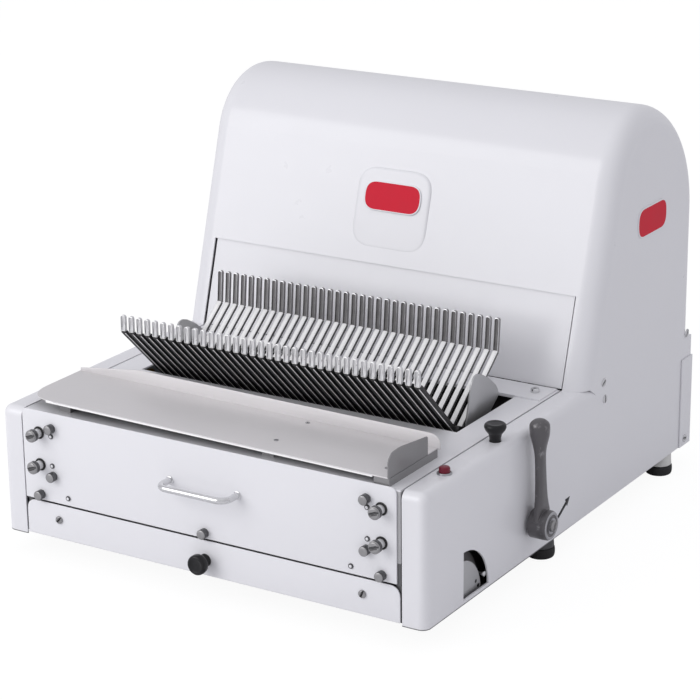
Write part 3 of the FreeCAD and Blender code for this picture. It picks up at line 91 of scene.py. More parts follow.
# ---------- shader maths
class Value:
    """A shader number: arithmetic on it adds Math nodes to its tree."""

    def __init__(self, shader: Nodes, socket: bpy.types.NodeSocket) -> None:
        self.shader = shader
        self.socket = socket

    def math(self, operation: str, *others: Any) -> Value:
        """Add one Math node.

        Args:
            operation: the Math node's operation.
            others: the values or numbers after this one.

        Returns:
            The node's result.
        """
        return self.shader.maths(operation, self, *others)

    def __add__(self, other: Any) -> Value:
        """Sum of this and other."""
        return self.math("ADD", other)

    __radd__ = __add__

    def __sub__(self, other: Any) -> Value:
        """This less other."""
        return self.math("SUBTRACT", other)

    def __rsub__(self, other: Any) -> Value:
        """Other less this."""
        return self.shader.maths("SUBTRACT", other, self)

    def __mul__(self, other: Any) -> Value:
        """Product of this and other."""
        return self.math("MULTIPLY", other)

    __rmul__ = __mul__

    def clamped(self) -> Value:
        """This, held between 0 and 1."""
        return self.math("MAXIMUM", 0.0).math("MINIMUM", 1.0)


class Nodes:
    """Node tree of a material or a world, written as expressions."""

    def __init__(self, owner: bpy.types.Material | bpy.types.World, output: str) -> None:
        owner.use_nodes = True
        self.tree = owner.node_tree
        self.tree.nodes.clear()
        self.output = self.tree.nodes.new(output)

    def node(self, kind: str, settings: dict[str, Any] | None = None, **inputs: Any) -> bpy.types.Node:
        """Add a node of any kind.

        Args:
            kind: the node's type.
            settings: attributes that are set first.
            inputs: values or links of its sockets, by name with spaces as underscores.

        Returns:
            The node.
        """
        made = self.tree.nodes.new(kind)
        for key, value in (settings or {}).items():
            setattr(made, key, value)
        for key, value in inputs.items():
            self.feed(made.inputs[key.replace("_", " ")], value)
        return made

    def feed(self, socket: bpy.types.NodeSocket, value: Any) -> None:
        """Link a shader value to a socket, or write a number or colour in it."""
        if isinstance(value, Value):
            value = value.socket
        if isinstance(value, bpy.types.NodeSocket):
            self.tree.links.new(value, socket)
        elif isinstance(value, (tuple, list)) and socket.type == "RGBA":
            socket.default_value = (*value[:3], 1.0)
        else:
            socket.default_value = value

    def maths(self, operation: str, *values: Any) -> Value:
        """Add a Math node over values or numbers."""
        made = self.node("ShaderNodeMath", {"operation": operation})
        for socket, value in zip(made.inputs, values):
            self.feed(socket, value)
        return Value(self, made.outputs[0])

    def blend(self, factor: Any, first: bpy.types.NodeSocket, second: bpy.types.NodeSocket) -> None:
        """Finish with a mix of two shaders."""
        mix = self.node("ShaderNodeMixShader")
        for socket, value in zip(mix.inputs, (factor, first, second)):
            self.feed(socket, value)
        self.tree.links.new(mix.outputs[0], self.output.inputs[0])


class Shader(Nodes):
    """One material's node tree with the patterns that the finishes use."""

    def __init__(self, name: str) -> None:
        self.material = bpy.data.materials.new(name)
        super().__init__(self.material, "ShaderNodeOutputMaterial")

    def coordinates(self, scale: Floats) -> bpy.types.NodeSocket:
        """Object coordinates, scaled by a Mapping node."""
        source = self.node("ShaderNodeTexCoord").outputs["Object"]
        return self.node("ShaderNodeMapping", Vector=source, Scale=tuple(scale)).outputs[0]

    def noise(self, scale: float, detail: float = 3.0, stretch: Floats = (1, 1, 1),
              roughness: float = 0.5) -> Value:
        """Noise from 0 to 1 on object coordinates.

        Args:
            scale: waves a metre.
            detail: octaves.
            stretch: factor on each axis; a small one draws the pattern out along it.
            roughness: weight of the fine octaves.

        Returns:
            The noise value.
        """
        made = self.node("ShaderNodeTexNoise", Vector=self.coordinates(stretch), Scale=scale, Detail=detail,
                         Roughness=roughness)
        return Value(self, made.outputs["Fac"])

    def axis(self, name: str) -> Value:
        """One of the object coordinates, in metres."""
        split = self.node("ShaderNodeSeparateXYZ", Vector=self.node("ShaderNodeTexCoord").outputs["Object"])
        return Value(self, split.outputs[name])

    def ramp(self, name: str, edge: float, slope: float) -> Value:
        """Mask on one coordinate, held between 0 and 1.

        Args:
            name: the coordinate.
            edge: where the mask leaves 0, in metres.
            slope: its rise a metre below the edge; a negative one rises above the edge.

        Returns:
            The mask.
        """
        return ((edge - self.axis(name)) * slope).clamped()

    def edges(self, radius: float) -> Value:
        """1 on sharp edges and creases, 0 on flat faces.

        The bevelled normal differs from the real one only near an edge, so one less
        their dot product marks it.
        """
        soft = self.node("ShaderNodeBevel", {"samples": 4}, Radius=radius).outputs[0]
        real = self.node("ShaderNodeNewGeometry").outputs["Normal"]
        dot = self.node("ShaderNodeVectorMath", {"operation": "DOT_PRODUCT"})
        self.feed(dot.inputs[0], soft)
        self.feed(dot.inputs[1], real)
        return ((1.0 - Value(self, dot.outputs["Value"])) * 4.0).clamped()

    def mix(self, factor: Any, first: Any, second: Any) -> bpy.types.NodeSocket:
        """Colour between first and second."""
        made = self.node("ShaderNodeMix", {"data_type": "RGBA"})
        self.feed(made.inputs[0], factor)
        self.feed(made.inputs[6], first)
        self.feed(made.inputs[7], second)
        return made.outputs[2]

    def bump(self, height: Value, depth: float, strength: float) -> bpy.types.NodeSocket:
        """Normal of a surface with this height, in units of depth metres."""
        return self.node("ShaderNodeBump", Height=height, Distance=depth, Strength=strength).outputs[0]

    def surface(self, **inputs: Any) -> bpy.types.Material:
        """Finish with a Principled shader that takes these inputs."""
        principled = self.node("ShaderNodeBsdfPrincipled", **inputs)
        self.tree.links.new(principled.outputs[0], self.output.inputs[0])
        return self.material


# ---------- finishes
@dataclass(frozen=True)
class PowderCoat:
    """Sprayed and baked paint: faint orange peel and a breath of unevenness.

    Below the height `edge_strip`, in metres of the frame, shade is painted on the sheet's front
    edge, and this painted shade fades out towards `edge_shade_end` in y. A shaded coat has the
    shelf's shadow painted on it: it is dark under the shelf, which covers `shelf_right` in
    x and `shelf_rows` in y, in machine millimetres.
    """

    name: str
    colour: Colour
    roughness: float = 0.34
    peel: float = 1.0
    edge_strip: float = 0.0
    edge_shade_end: float = 0.04
    edge_shade_colour: Colour = (0.04, 0.04, 0.042)
    shaded: bool = False
    shelf_right: float = 230.95
    shelf_rows: Pair = (5.0, 103.0)
    shelf_shadow_colour: Colour = (0.05, 0.05, 0.052)

    def material(self) -> bpy.types.Material:
        """Build the material."""
        shader = Shader(self.name)
        cloud = shader.noise(5.0, 4.0)
        peel = shader.noise(900.0, 2.0)
        shade = tuple(channel * 0.955 for channel in self.colour)
        base = shader.mix(cloud, shade, self.colour)
        # Painted shade: the sheet is darkened low down at its front, fading out backwards in y.
        if self.edge_strip:
            painted_shade_mask = shader.ramp("Z", self.edge_strip, 2000.0) * shader.ramp("Y", self.edge_shade_end, 12.0)
            base = shader.mix(painted_shade_mask * 0.85, base, self.edge_shade_colour)
        # Painted shadow of the shelf on the deck.
        if self.shaded:
            right, front, _ = place(self.shelf_right, self.shelf_rows[0], 0.0).tolist()
            back = float(place(0.0, self.shelf_rows[1], 0.0)[1])
            painted_shade_mask = shader.ramp("Y", front, -50.0) * shader.ramp("Y", back, 500.0)
            base = shader.mix(painted_shade_mask * shader.ramp("X", right, 500.0) * 0.7, base, self.shelf_shadow_colour)
        roughness = self.roughness + (shader.noise(38.0, 5.0) - 0.5) * 0.12
        normal = shader.bump(peel, 0.00004 * self.peel, 0.35)
        return shader.surface(Base_Color=base, Roughness=roughness, Normal=normal, Coat_Weight=0.25,
                              Coat_Roughness=0.12)


class Grain(Enum):
    """Way that a brushed surface's lines run."""

    ALONG_X = (0.012, 1.0, 1.0)
    ALONG_Y = (1.0, 0.012, 1.0)
    ALONG_Z = (1.0, 1.0, 0.012)


@dataclass(frozen=True)
class BrushedSteel:
    """Stainless sheet with fine lines one way, soft clouds and a few handling marks."""

    name: str
    colour: Colour
    grain: Grain = Grain.ALONG_X
    roughness: float = 0.33
    metallic: float = 1.0

    def material(self) -> bpy.types.Material:
        """Build the material."""
        shader = Shader(self.name)
        lines = shader.noise(1400.0, 3.0, self.grain.value, 0.7)
        cloud = shader.noise(9.0, 3.0)
        dark = tuple(channel * 0.82 for channel in self.colour)
        base = shader.mix((lines * 0.55 + cloud * 0.45), dark, self.colour)
        roughness = self.roughness + (lines - 0.5) * 0.22 + (cloud - 0.5) * 0.1
        normal = shader.bump(lines, 0.00003, 0.5)
        return shader.surface(Base_Color=base, Metallic=self.metallic, Roughness=roughness, Normal=normal)


@dataclass(frozen=True)
class PolishedSteel:
    """Bright plated or polished steel with a light haze of wear."""

    name: str
    colour: Colour = (0.78, 0.78, 0.79)
    roughness: float = 0.14
    grime: float = 0.25
    metallic: float = 1.0

    def material(self) -> bpy.types.Material:
        """Build the material."""
        shader = Shader(self.name)
        haze = shader.noise(120.0, 5.0)
        dull = tuple(channel * (1 - self.grime) for channel in self.colour)
        base = shader.mix(haze, dull, self.colour)
        roughness = self.roughness + haze * 0.14
        normal = shader.bump(shader.noise(600.0, 2.0), 0.00002, 0.4)
        return shader.surface(Base_Color=base, Metallic=self.metallic, Roughness=roughness, Normal=normal)


@dataclass(frozen=True)
class DarkCoat:
    """Dark baked coating with a fine texture, worn lighter on the edges."""

    name: str
    colour: Colour = (0.022, 0.021, 0.022)
    worn: Colour = (0.2, 0.19, 0.19)
    roughness: float = 0.5

    def material(self) -> bpy.types.Material:
        """Build the material."""
        shader = Shader(self.name)
        grain = shader.noise(700.0, 3.0)
        wear = (shader.edges(0.0008) * (0.4 + shader.noise(90.0, 4.0))).clamped()
        base = shader.mix(wear * 0.6, self.colour, self.worn)
        roughness = self.roughness + (grain - 0.5) * 0.2
        normal = shader.bump(grain, 0.00005, 0.5)
        return shader.surface(Base_Color=base, Roughness=roughness, Normal=normal, Specular_IOR_Level=0.4)


@dataclass(frozen=True)
class CastPaint:
    """Grey enamel over a sand casting: soft lumps, glints and rubbed high spots."""

    name: str
    colour: Colour
    rubbed: Colour
    roughness: float = 0.36

    def material(self) -> bpy.types.Material:
        """Build the material."""
        shader = Shader(self.name)
        lumps = shader.noise(160.0, 5.0)
        rub = ((shader.noise(70.0, 6.0, roughness=0.7) - 0.58) * 5.0).clamped() + shader.edges(0.0015) * 0.5
        base = shader.mix(rub.clamped(), self.colour, self.rubbed)
        roughness = self.roughness + (lumps - 0.5) * 0.25
        normal = shader.bump(lumps, 0.00025, 0.55)
        return shader.surface(Base_Color=base, Roughness=roughness, Normal=normal, Metallic=0.35,
                              Coat_Weight=0.3, Coat_Roughness=0.2)


@dataclass(frozen=True)
class Moulded:
    """Moulded plastic or enamel with a slight skin texture."""

    name: str
    colour: Colour
    roughness: float = 0.28
    texture: float = 1.0
    coat: float = 0.2
    specular: float = 0.5

    def material(self) -> bpy.types.Material:
        """Build the material."""
        shader = Shader(self.name)
        skin = shader.noise(1100.0, 2.0)
        cloud = shader.noise(60.0, 4.0)
        lighter = tuple(min(1.0, channel * 1.25 + 0.004) for channel in self.colour)
        base = shader.mix(cloud * 0.5, self.colour, lighter)
        roughness = self.roughness + (cloud - 0.5) * 0.12
        normal = shader.bump(skin, 0.00003 * self.texture, 0.4)
        return shader.surface(Base_Color=base, Roughness=roughness, Normal=normal, Coat_Weight=self.coat,
                              Coat_Roughness=0.1, Specular_IOR_Level=self.specular)


@dataclass(frozen=True)
class Rubber:
    """Dull black rubber with dust in its pores."""

    name: str
    colour: Colour = (0.018, 0.018, 0.019)

    def material(self) -> bpy.types.Material:
        """Build the material."""
        shader = Shader(self.name)
        dust = shader.noise(220.0, 5.0)
        base = shader.mix(dust * 0.4, self.colour, (0.06, 0.058, 0.055))
        return shader.surface(Base_Color=base, Roughness=0.62 + dust * 0.2,
                              Normal=shader.bump(dust, 0.0001, 0.4), Specular_IOR_Level=0.35)


WHITE_PAINT = (0.80, 0.797, 0.825)
WHITE = PowderCoat("white_powder_coat", WHITE_PAINT)
# Side covers: shade painted along their lower front edge.
WHITE_COVER = PowderCoat("white_powder_coat_cover", WHITE_PAINT, edge_strip=0.0264)
# Deck: the shelf's shadow is painted on it.
WHITE_DECK = PowderCoat("white_powder_coat_deck_painted_shadow", WHITE_PAINT, shaded=True)
WHITE_DOME = PowderCoat("white_powder_coat_hood", WHITE_PAINT, 0.3)
# Side frames: the grey paints the shade in the narrow gaps beside the front panels, and a darker band paints
# more shade low on their front edges.
GAP_SHADE_COAT = PowderCoat("grey_coat_painted_gap_shade", (0.42, 0.42, 0.43), 0.45, edge_strip=0.0945)
STAINLESS = BrushedSteel("stainless_tray", (0.76, 0.74, 0.745), Grain.ALONG_X, 0.5, 0.45)
# Darker copy of the tray's steel: painted shade on the shelf's fence and its supports.
STAINLESS_SHADE = BrushedSteel("stainless_painted_shade", (0.33, 0.325, 0.33), Grain.ALONG_Y, 0.45, 0.6)
STAINLESS_UPRIGHT = BrushedSteel("stainless_upright", (0.56, 0.56, 0.57), Grain.ALONG_Z, 0.4, 0.7)
BRIGHT = PolishedSteel("bright_steel")
COMB_STEEL = PolishedSteel("comb_steel", (0.86, 0.86, 0.87), 0.16, 0.1, 0.7)
# White that stands in for the bright reflection of polished steel: a painted highlight on the rear comb's
# shanks, the front comb's rails and the shelf's rolled edge.
STEEL_PAINTED_HIGHLIGHT = PolishedSteel("steel_painted_highlight", (1.0, 0.995, 0.99), 0.35, 0.0, 0.0)
# Dark steel: painted shade on the rear comb tips' flanks and channels, and the colour of the quadrant's rear
# disc.
DARK_STEEL_AND_SHADE = PolishedSteel("dark_steel_and_channel_shade", (0.27, 0.26, 0.265), 0.35, 0.3, 0.5)
# Pale steel: painted shade on the front comb tips' flanks and channels, and the colour of the studs' barrels.
PALE_STEEL_AND_SHADE = PolishedSteel("pale_steel_and_channel_shade", (0.80, 0.80, 0.81), 0.3, 0.25, 0.3)
TIP_STEEL = PolishedSteel("comb_tip_steel", (0.95, 0.945, 0.94), 0.22, 0.1, 0.6)
# Painted shade on the flanks of the rear comb's shanks.
COMB_SIDE_SHADE = PolishedSteel("comb_side_painted_shade", (0.16, 0.158, 0.16), 0.4, 0.3, 0.4)
NUT_STEEL = PolishedSteel("nut_steel", (0.40, 0.395, 0.40), 0.3, 0.3, 0.75)
# Darker copy of the nut steel: painted shade on nut skirts, stud heads' sides and slots, the panel screws'
# rings and the front foot spacers.
STEEL_SHADE = PolishedSteel("nut_side", (0.13, 0.13, 0.135), 0.35, 0.3, 0.75)
MACHINED = PolishedSteel("machined_steel", (0.5, 0.5, 0.52), 0.3, 0.35)
BRONZE = PolishedSteel("sintered_bronze", (0.55, 0.38, 0.17), 0.35, 0.3)
# Dark coating of the pan, chutes, motor and comb bars; on the front comb's shanks it is painted shade.
DARK = DarkCoat("dark_coating")
LEVER_GREY = CastPaint("lever_enamel", (0.105, 0.1, 0.105), (0.33, 0.32, 0.33))
BLACK_PLASTIC = Moulded("black_plastic", (0.009, 0.009, 0.010), 0.3, 1.0, 0.0, 0.3)
RED_PLASTIC = Moulded("red_plastic", (0.155, 0.004, 0.02), 0.3, coat=0.1, specular=0.3)
RED_ENAMEL = Moulded("red_enamel", (0.60, 0.006, 0.028), 0.42, 0.3, 0.0, 0.15)
NYLON = Moulded("natural_nylon", (0.62, 0.62, 0.6), 0.5)
RUBBER = Rubber("black_rubber")


FINISH_OF_NODE: dict[Any, tuple[str, ...]] = {
    WHITE_DECK: ("deck_plate",),
    WHITE: ("throat_sill", "rear_cover", "front_panel", "crumb_tray_front", "loaf_door",
            "emblem_plate"),
    WHITE_COVER: ("left_side_cover", "right_side_cover"),
    GAP_SHADE_COAT: ("left_side_frame", "right_side_frame"),
    STAINLESS_SHADE: ("bagging_tray_supports",),
    WHITE_DOME: ("hood",),
    STAINLESS: ("bagging_tray", "crumb_tray", "door_guides"),
    STAINLESS_UPRIGHT: ("comb_end_plates", "quadrant_plate"),
    BRIGHT: ("hood_screws", "front_handle", "guide_studs", "panel_nuts", "panel_screws", "crumb_tray_screws",
             "lever_bolt", "button_bezel"),
    COMB_STEEL: ("front_comb_fingers", "front_comb_tips", "rear_comb_fingers", "rear_comb_tips"),
    MACHINED: ("front_comb_shaft", "front_comb_sprocket", "rear_comb_shaft", "feed_shaft", "feed_sprocket",
               "feed_chain", "front_blade_frame", "rear_blade_frame", "front_blades", "rear_blades",
               "front_drive_rod", "rear_drive_rod", "bagging_tray_screws", "eccentric_shaft", "driven_pulley",
               "motor_pulley"),
    BRONZE: ("shaft_bearings",),
    DARK: ("base_pan", "chute_plates", "front_comb_bar", "front_comb_backing", "rear_comb_bar", "motor",
           "motor_cradle"),
    LEVER_GREY: ("crank_lever",),
    BLACK_PLASTIC: ("power_gland", "crumb_tray_knob", "start_knob"),
    RED_PLASTIC: ("stop_button",),
    RED_ENAMEL: ("badge_plaques",),
    NYLON: ("foot_spacers", "frame_guides"),
    RUBBER: ("rubber_feet", "drive_belt"),
}


def add_object(name: str, data: bpy.types.ID) -> bpy.types.Object:
    """New object in the scene's collection."""
    thing = bpy.data.objects.new(name, data)
    bpy.context.scene.collection.objects.link(thing)
    return thing


class Dresser:
    """Gives each CAD node its finish, building each material once."""

    def __init__(self) -> None:
        self.materials: dict[str, bpy.types.Material] = {}

    def material(self, finish: Any) -> bpy.types.Material:
        """Material of a finish, made on first use."""
        if finish.name not in self.materials:
            self.materials[finish.name] = finish.material()
        return self.materials[finish.name]

    def dress(self, thing: bpy.types.Object, finish: Any) -> None:
        """Give an object one finish all over."""
        thing.data.materials.clear()
        thing.data.materials.append(self.material(finish))

    def dress_nodes(self) -> None:
        """Give every CAD node the finish of the table."""
        for finish, names in FINISH_OF_NODE.items():
            for name in names:
                self.dress(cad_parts[name], finish)


# ---------- surfaces
def unit(vector: Floats) -> Points:
    """Vector of length one."""
    array = np.asarray(vector, float)
    return array / np.linalg.norm(array)


def frame_of(axis: Floats) -> tuple[Points, Points, Points]:
    """Two directions across an axis and the axis itself, right-handed."""
    along = unit(axis)
    helper = np.array((0.0, 0.0, 1.0)) if abs(along[2]) < 0.9 else np.array((0.0, 1.0, 0.0))
    first = unit(np.cross(helper, along))
    return first, np.cross(along, first), along


def rounded_outline(corners: Sequence[Floats], cut: float | Floats,
                    steps: int = 7) -> Points:
    """Polygon with its corners rounded.

    Each corner C is left out between a point `cut` before it and one `cut` after it, A and
    B, and a parabola (1-t)^2 A + 2t(1-t) C + t^2 B runs between the two.

    Args:
        corners: the polygon's corners, anticlockwise.
        cut: length left out on each side of a corner, one for all or one each.
        steps: points a corner.

    Returns:
        Points of the closed outline, (n, 2).
    """
    corner = np.asarray(corners, float)
    before = np.roll(corner, 1, 0) - corner
    after = np.roll(corner, -1, 0) - corner
    size = np.broadcast_to(np.asarray(cut, float), len(corner))[:, None]
    start = corner + before / np.linalg.norm(before, axis=1, keepdims=True) * size
    end = corner + after / np.linalg.norm(after, axis=1, keepdims=True) * size
    t = np.linspace(0, 1, steps)[None, :, None]
    curve = (1 - t) ** 2 * start[:, None] + 2 * t * (1 - t) * corner[:, None] + t ** 2 * end[:, None]
    return curve.reshape(-1, 2)


def box_outline(width: float, height: float, cut: float, steps: int = 7) -> Points:
    """Rectangle about the origin with round corners."""
    x, y = width / 2, height / 2
    return rounded_outline([(-x, -y), (x, -y), (x, y), (-x, y)], cut, steps)


def circle(radius: float, count: int = 48) -> Points:
    """Circle about the origin as an outline."""
    turn = np.linspace(0, 2 * np.pi, count, endpoint=False)
    return np.stack((np.cos(turn), np.sin(turn)), 1) * radius


def laid_out(flat: Points, heights: Points, axes: Sequence[Points], base: Floats) -> Points:
    """Points of flat rings in space.

    Args:
        flat: (rows, points of a ring, 2) in the first two axes.
        heights: of the rows, along the third axis.
        axes: three directions.
        base: point where flat rings have their origin, at height 0.

    Returns:
        The points, (rows, points of a ring, 3).
    """
    first, second, up = axes
    points = flat[..., :1] * first + flat[..., 1:] * second + heights[:, None, None] * up
    return points + np.asarray(base, float)


def inset(outline: Points, distance: float) -> Points:
    """Outline moved inwards: each point goes along the mean normal of its two sides."""
    ahead = np.roll(outline, -1, 0) - outline
    back = outline - np.roll(outline, 1, 0)
    lengths = [np.maximum(np.linalg.norm(side, axis=1, keepdims=True), 1e-9) for side in (ahead, back)]
    along = ahead / lengths[0] + back / lengths[1]
    along /= np.maximum(np.linalg.norm(along, axis=1, keepdims=True), 1e-9)
    return outline + np.stack((-along[:, 1], along[:, 0]), 1) * distance


class Piece:
    """One visible piece, gathered from closed surfaces in machine millimetres."""

    def __init__(self, name: str) -> None:
        self.name = name
        self.points: list[Points] = []
        self.faces: list[list[int]] = []
        self.marks: list[int] = []
        self.count = 0

    def rings(self, rings: Points, marks: Marks = 0, caps: bool = True) -> Piece:
        """Add a closed surface through rings of points, with a flat face on each end.

        Args:
            rings: (rows, points of a ring, 3).
            marks: material number, one for all or one for each band and then the last cap.
            caps: whether the two ends are closed.

        Returns:
            This piece.
        """
        rows, around = rings.shape[:2]
        index = self.count + np.arange(rows * around).reshape(rows, around)
        wrapped = np.hstack((index, index[:, :1]))
        quads = np.stack((wrapped[:-1, :-1], wrapped[:-1, 1:], wrapped[1:, 1:], wrapped[1:, :-1]), -1)
        band = np.broadcast_to(np.asarray(marks), rows) if np.ndim(marks) == 0 else np.asarray(marks)
        self.faces += quads.reshape(-1, 4).tolist()
        self.marks += np.repeat(band[: rows - 1], around).tolist()
        if caps:
            self.faces += [index[0, ::-1].tolist(), index[-1].tolist()]
            self.marks += [int(band[0]), int(band[-1])]
        self.points.append(rings.reshape(-1, 3))
        self.count += rows * around
        return self

    def lathe(self, profile: Sequence[Floats], base: Floats, axis: Floats,
              marks: Marks = 0, count: int = 40, caps: bool = True) -> Piece:
        """Add a turned surface: a circle of each radius at each height.

        Args:
            profile: (radius, height) rows from one end to the other.
            base: point where the height is 0.
            axis: direction of growing height.
            marks: material number or numbers of the bands.
            count: points a turn.
            caps: whether the two ends are closed.

        Returns:
            This piece.
        """
        rows = np.asarray(profile, float)
        flat = circle(1.0, count)[None] * rows[:, :1, None]
        return self.rings(laid_out(flat, rows[:, 1], frame_of(axis), base), marks, caps)

    def slab(self, outline: Points, base: Floats, across: Across,
             thickness: float, bevel: float = 0.3, marks: Marks = 0) -> Piece:
        """Add a plate with rounded rims on both faces.

        Args:
            outline: (n, 2) in the two directions across, anticlockwise seen from its top.
            base: point of the bottom face where the outline's origin lies.
            across: the outline's two directions; the top lies along their cross product.
            thickness: distance from the bottom face to the top face.
            bevel: radius of the rims.
            marks: material number or numbers.

        Returns:
            This piece.
        """
        turn = np.radians((0.0, 30.0, 60.0, 90.0))
        low = [(bevel * (1 - np.sin(angle)), bevel * (1 - np.cos(angle))) for angle in turn]
        rows = low + [(into, thickness - up) for into, up in reversed(low)]
        return self.layers(outline, base, across, rows, marks)

    def layers(self, outline: Points, base: Floats, across: Across,
               rows: Sequence[Pair], marks: Marks = 0) -> Piece:
        """Add a surface through inset copies of an outline.

        Args:
            outline: (n, 2) in the two directions across.
            base: point where the outline's origin lies at height 0.
            across: the outline's two directions.
            rows: (inset, height) of each copy, from the bottom up.
            marks: material number or numbers.

        Returns:
            This piece.
        """
        first, second = unit(across[0]), unit(across[1])
        flat = np.stack([inset(outline, into) for into, _ in rows])
        heights = np.array([height for _, height in rows])
        return self.rings(laid_out(flat, heights, (first, second, np.cross(first, second)), base), marks)

    def tube(self, path: Points, radius: float | Points, count: int = 16) -> Piece:
        """Add a round bar along a path.

        The ring at a point lies across the path's tangent. One of its axes is in the plane
        of the path and the other square to that plane.

        Args:
            path: (n, 3) centre line.
            radius: of the bar, one for all or one for each point.
            count: points a turn.

        Returns:
            This piece.
        """
        tangent = np.gradient(path, axis=0)
        tangent /= np.linalg.norm(tangent, axis=1, keepdims=True)
        spread = np.linalg.svd(path - path.mean(0))[2][2]
        first = np.cross(tangent, spread)
        first /= np.linalg.norm(first, axis=1, keepdims=True)
        second = np.cross(tangent, first)
        ring = circle(1.0, count)
        size = np.broadcast_to(np.asarray(radius, float), len(path))[:, None, None]
        spokes = ring[None, :, :1] * first[:, None] + ring[None, :, 1:] * second[:, None]
        return self.rings(path[:, None] + size * spokes)

    def slotted(self, base: Floats, axis: Floats, radius: float, height: float,
                turn: float) -> None:
        """Add a crowned screw head cut by a slot: two half moons over a disc in the second material.

        Args:
            base: middle of the head's foot.
            axis: direction that the head faces.
            radius: of the head.
            height: of the head.
            turn: angle of the slot, in degrees.
        """
        floor = height * 0.45
        barrel = [(radius * 0.97, 0.0), (radius, 0.15), (radius, floor)]
        self.lathe(barrel, base, axis, marks=(0, 0, 1), count=28)
        top = np.asarray(base, float) + unit(axis) * floor * 0.98
        self.moons(top, axis, radius, height - floor, turn)

    def moons(self, base: Floats, axis: Floats, radius: float, rise: float,
              turn: float) -> None:
        """Add two half moons with a slot between them.

        Args:
            base: middle of their foot.
            axis: direction that they face.
            radius: of their outline.
            rise: their height.
            turn: angle of the slot, in degrees.
        """
        first, second, along = frame_of(axis)
        angle = math.radians(turn)
        right = first * math.cos(angle) + second * math.sin(angle)
        half_slot = radius * 0.13
        start = math.asin(half_slot / radius)
        sweep = np.linspace(start, math.pi - start, 20)
        moon = np.stack((np.cos(sweep), np.sin(sweep)), 1) * radius
        rows = [(0.0, 0.0), (0.0, rise * 0.35), (radius * 0.06, rise * 0.72), (radius * 0.16, rise * 0.93),
                (radius * 0.26, rise)]
        for direction in (right, -right):
            self.layers(moon, base, (direction, np.cross(along, direction)), rows)

    def repeat(self, shifts: Points) -> Piece:
        """Copy everything gathered so far to each shift, in place of the original.

        Args:
            shifts: (n, 3) moves.

        Returns:
            This piece.
        """
        points = np.concatenate(self.points)
        faces, marks = self.faces, self.marks
        self.points = [(points[None] + np.asarray(shifts)[:, None]).reshape(-1, 3)]
        starts = [step * len(points) for step in range(len(shifts))]
        self.faces = [[corner + start for corner in face] for start in starts for face in faces]
        self.marks = marks * len(shifts)
        self.count = len(points) * len(shifts)
        return self

    def build(self, dresser: Dresser, body: str, finishes: Sequence[Any], replaces: Sequence[str] = (),
              crease: float = 38.0, slot: str | None = None) -> bpy.types.Object:
        """Make the mesh object.

        Args:
            dresser: gives the materials.
            body: CAD body that the piece moves with.
            finishes: one for each material number.
            replaces: CAD nodes that the piece stands for.
            crease: angle in degrees past which an edge shades sharp.
            slot: not used; it would be the material slot of a piece that replaces nothing.

        Returns:
            The object.
        """
        mesh = bpy.data.meshes.new(self.name)
        points = MACHINE + np.concatenate(self.points) * MM
        mesh.from_pydata(points.tolist(), [], self.faces)
        mesh.polygons.foreach_set("material_index", np.array(self.marks, dtype=np.int32))
        self._turn_outwards(mesh)
        mesh.shade_smooth()
        mesh.set_sharp_from_angle(angle=math.radians(crease))
        thing = add_object(self.name, mesh)
        for finish in finishes:
            mesh.materials.append(dresser.material(finish))
        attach(thing, body)
        if replaces:
            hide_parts(*replaces)
        return thing

    @staticmethod
    def _turn_outwards(mesh: bpy.types.Mesh) -> None:
        """Point every face outwards."""
        shape = bmesh.new()
        shape.from_mesh(mesh)
        bmesh.ops.recalc_face_normals(shape, faces=shape.faces)
        shape.to_mesh(mesh)
        shape.free()
        mesh.update()


X_AXIS, Y_AXIS, Z_AXIS = (1.0, 0.0, 0.0), (0.0, 1.0, 0.0), (0.0, 0.0, 1.0)
FORWARD = (0.0, -1.0, 0.0)
UPRIGHT_X, UPRIGHT_Y = (X_AXIS, Z_AXIS), (Y_AXIS, Z_AXIS)


def both_sides(side: float, *heights: float) -> list[Pair]:
    """Places (x, z) on both sides of the middle, at each height."""
    return [(sign * side, height) for sign in (-1, 1) for height in heights]


def rows_of(places: Sequence[Floats]) -> list[Pair]:
    """Places (x, z) on both sides for each entry, which is a side and its heights."""
    return [point for side, *heights in places for point in both_sides(side, *heights)]


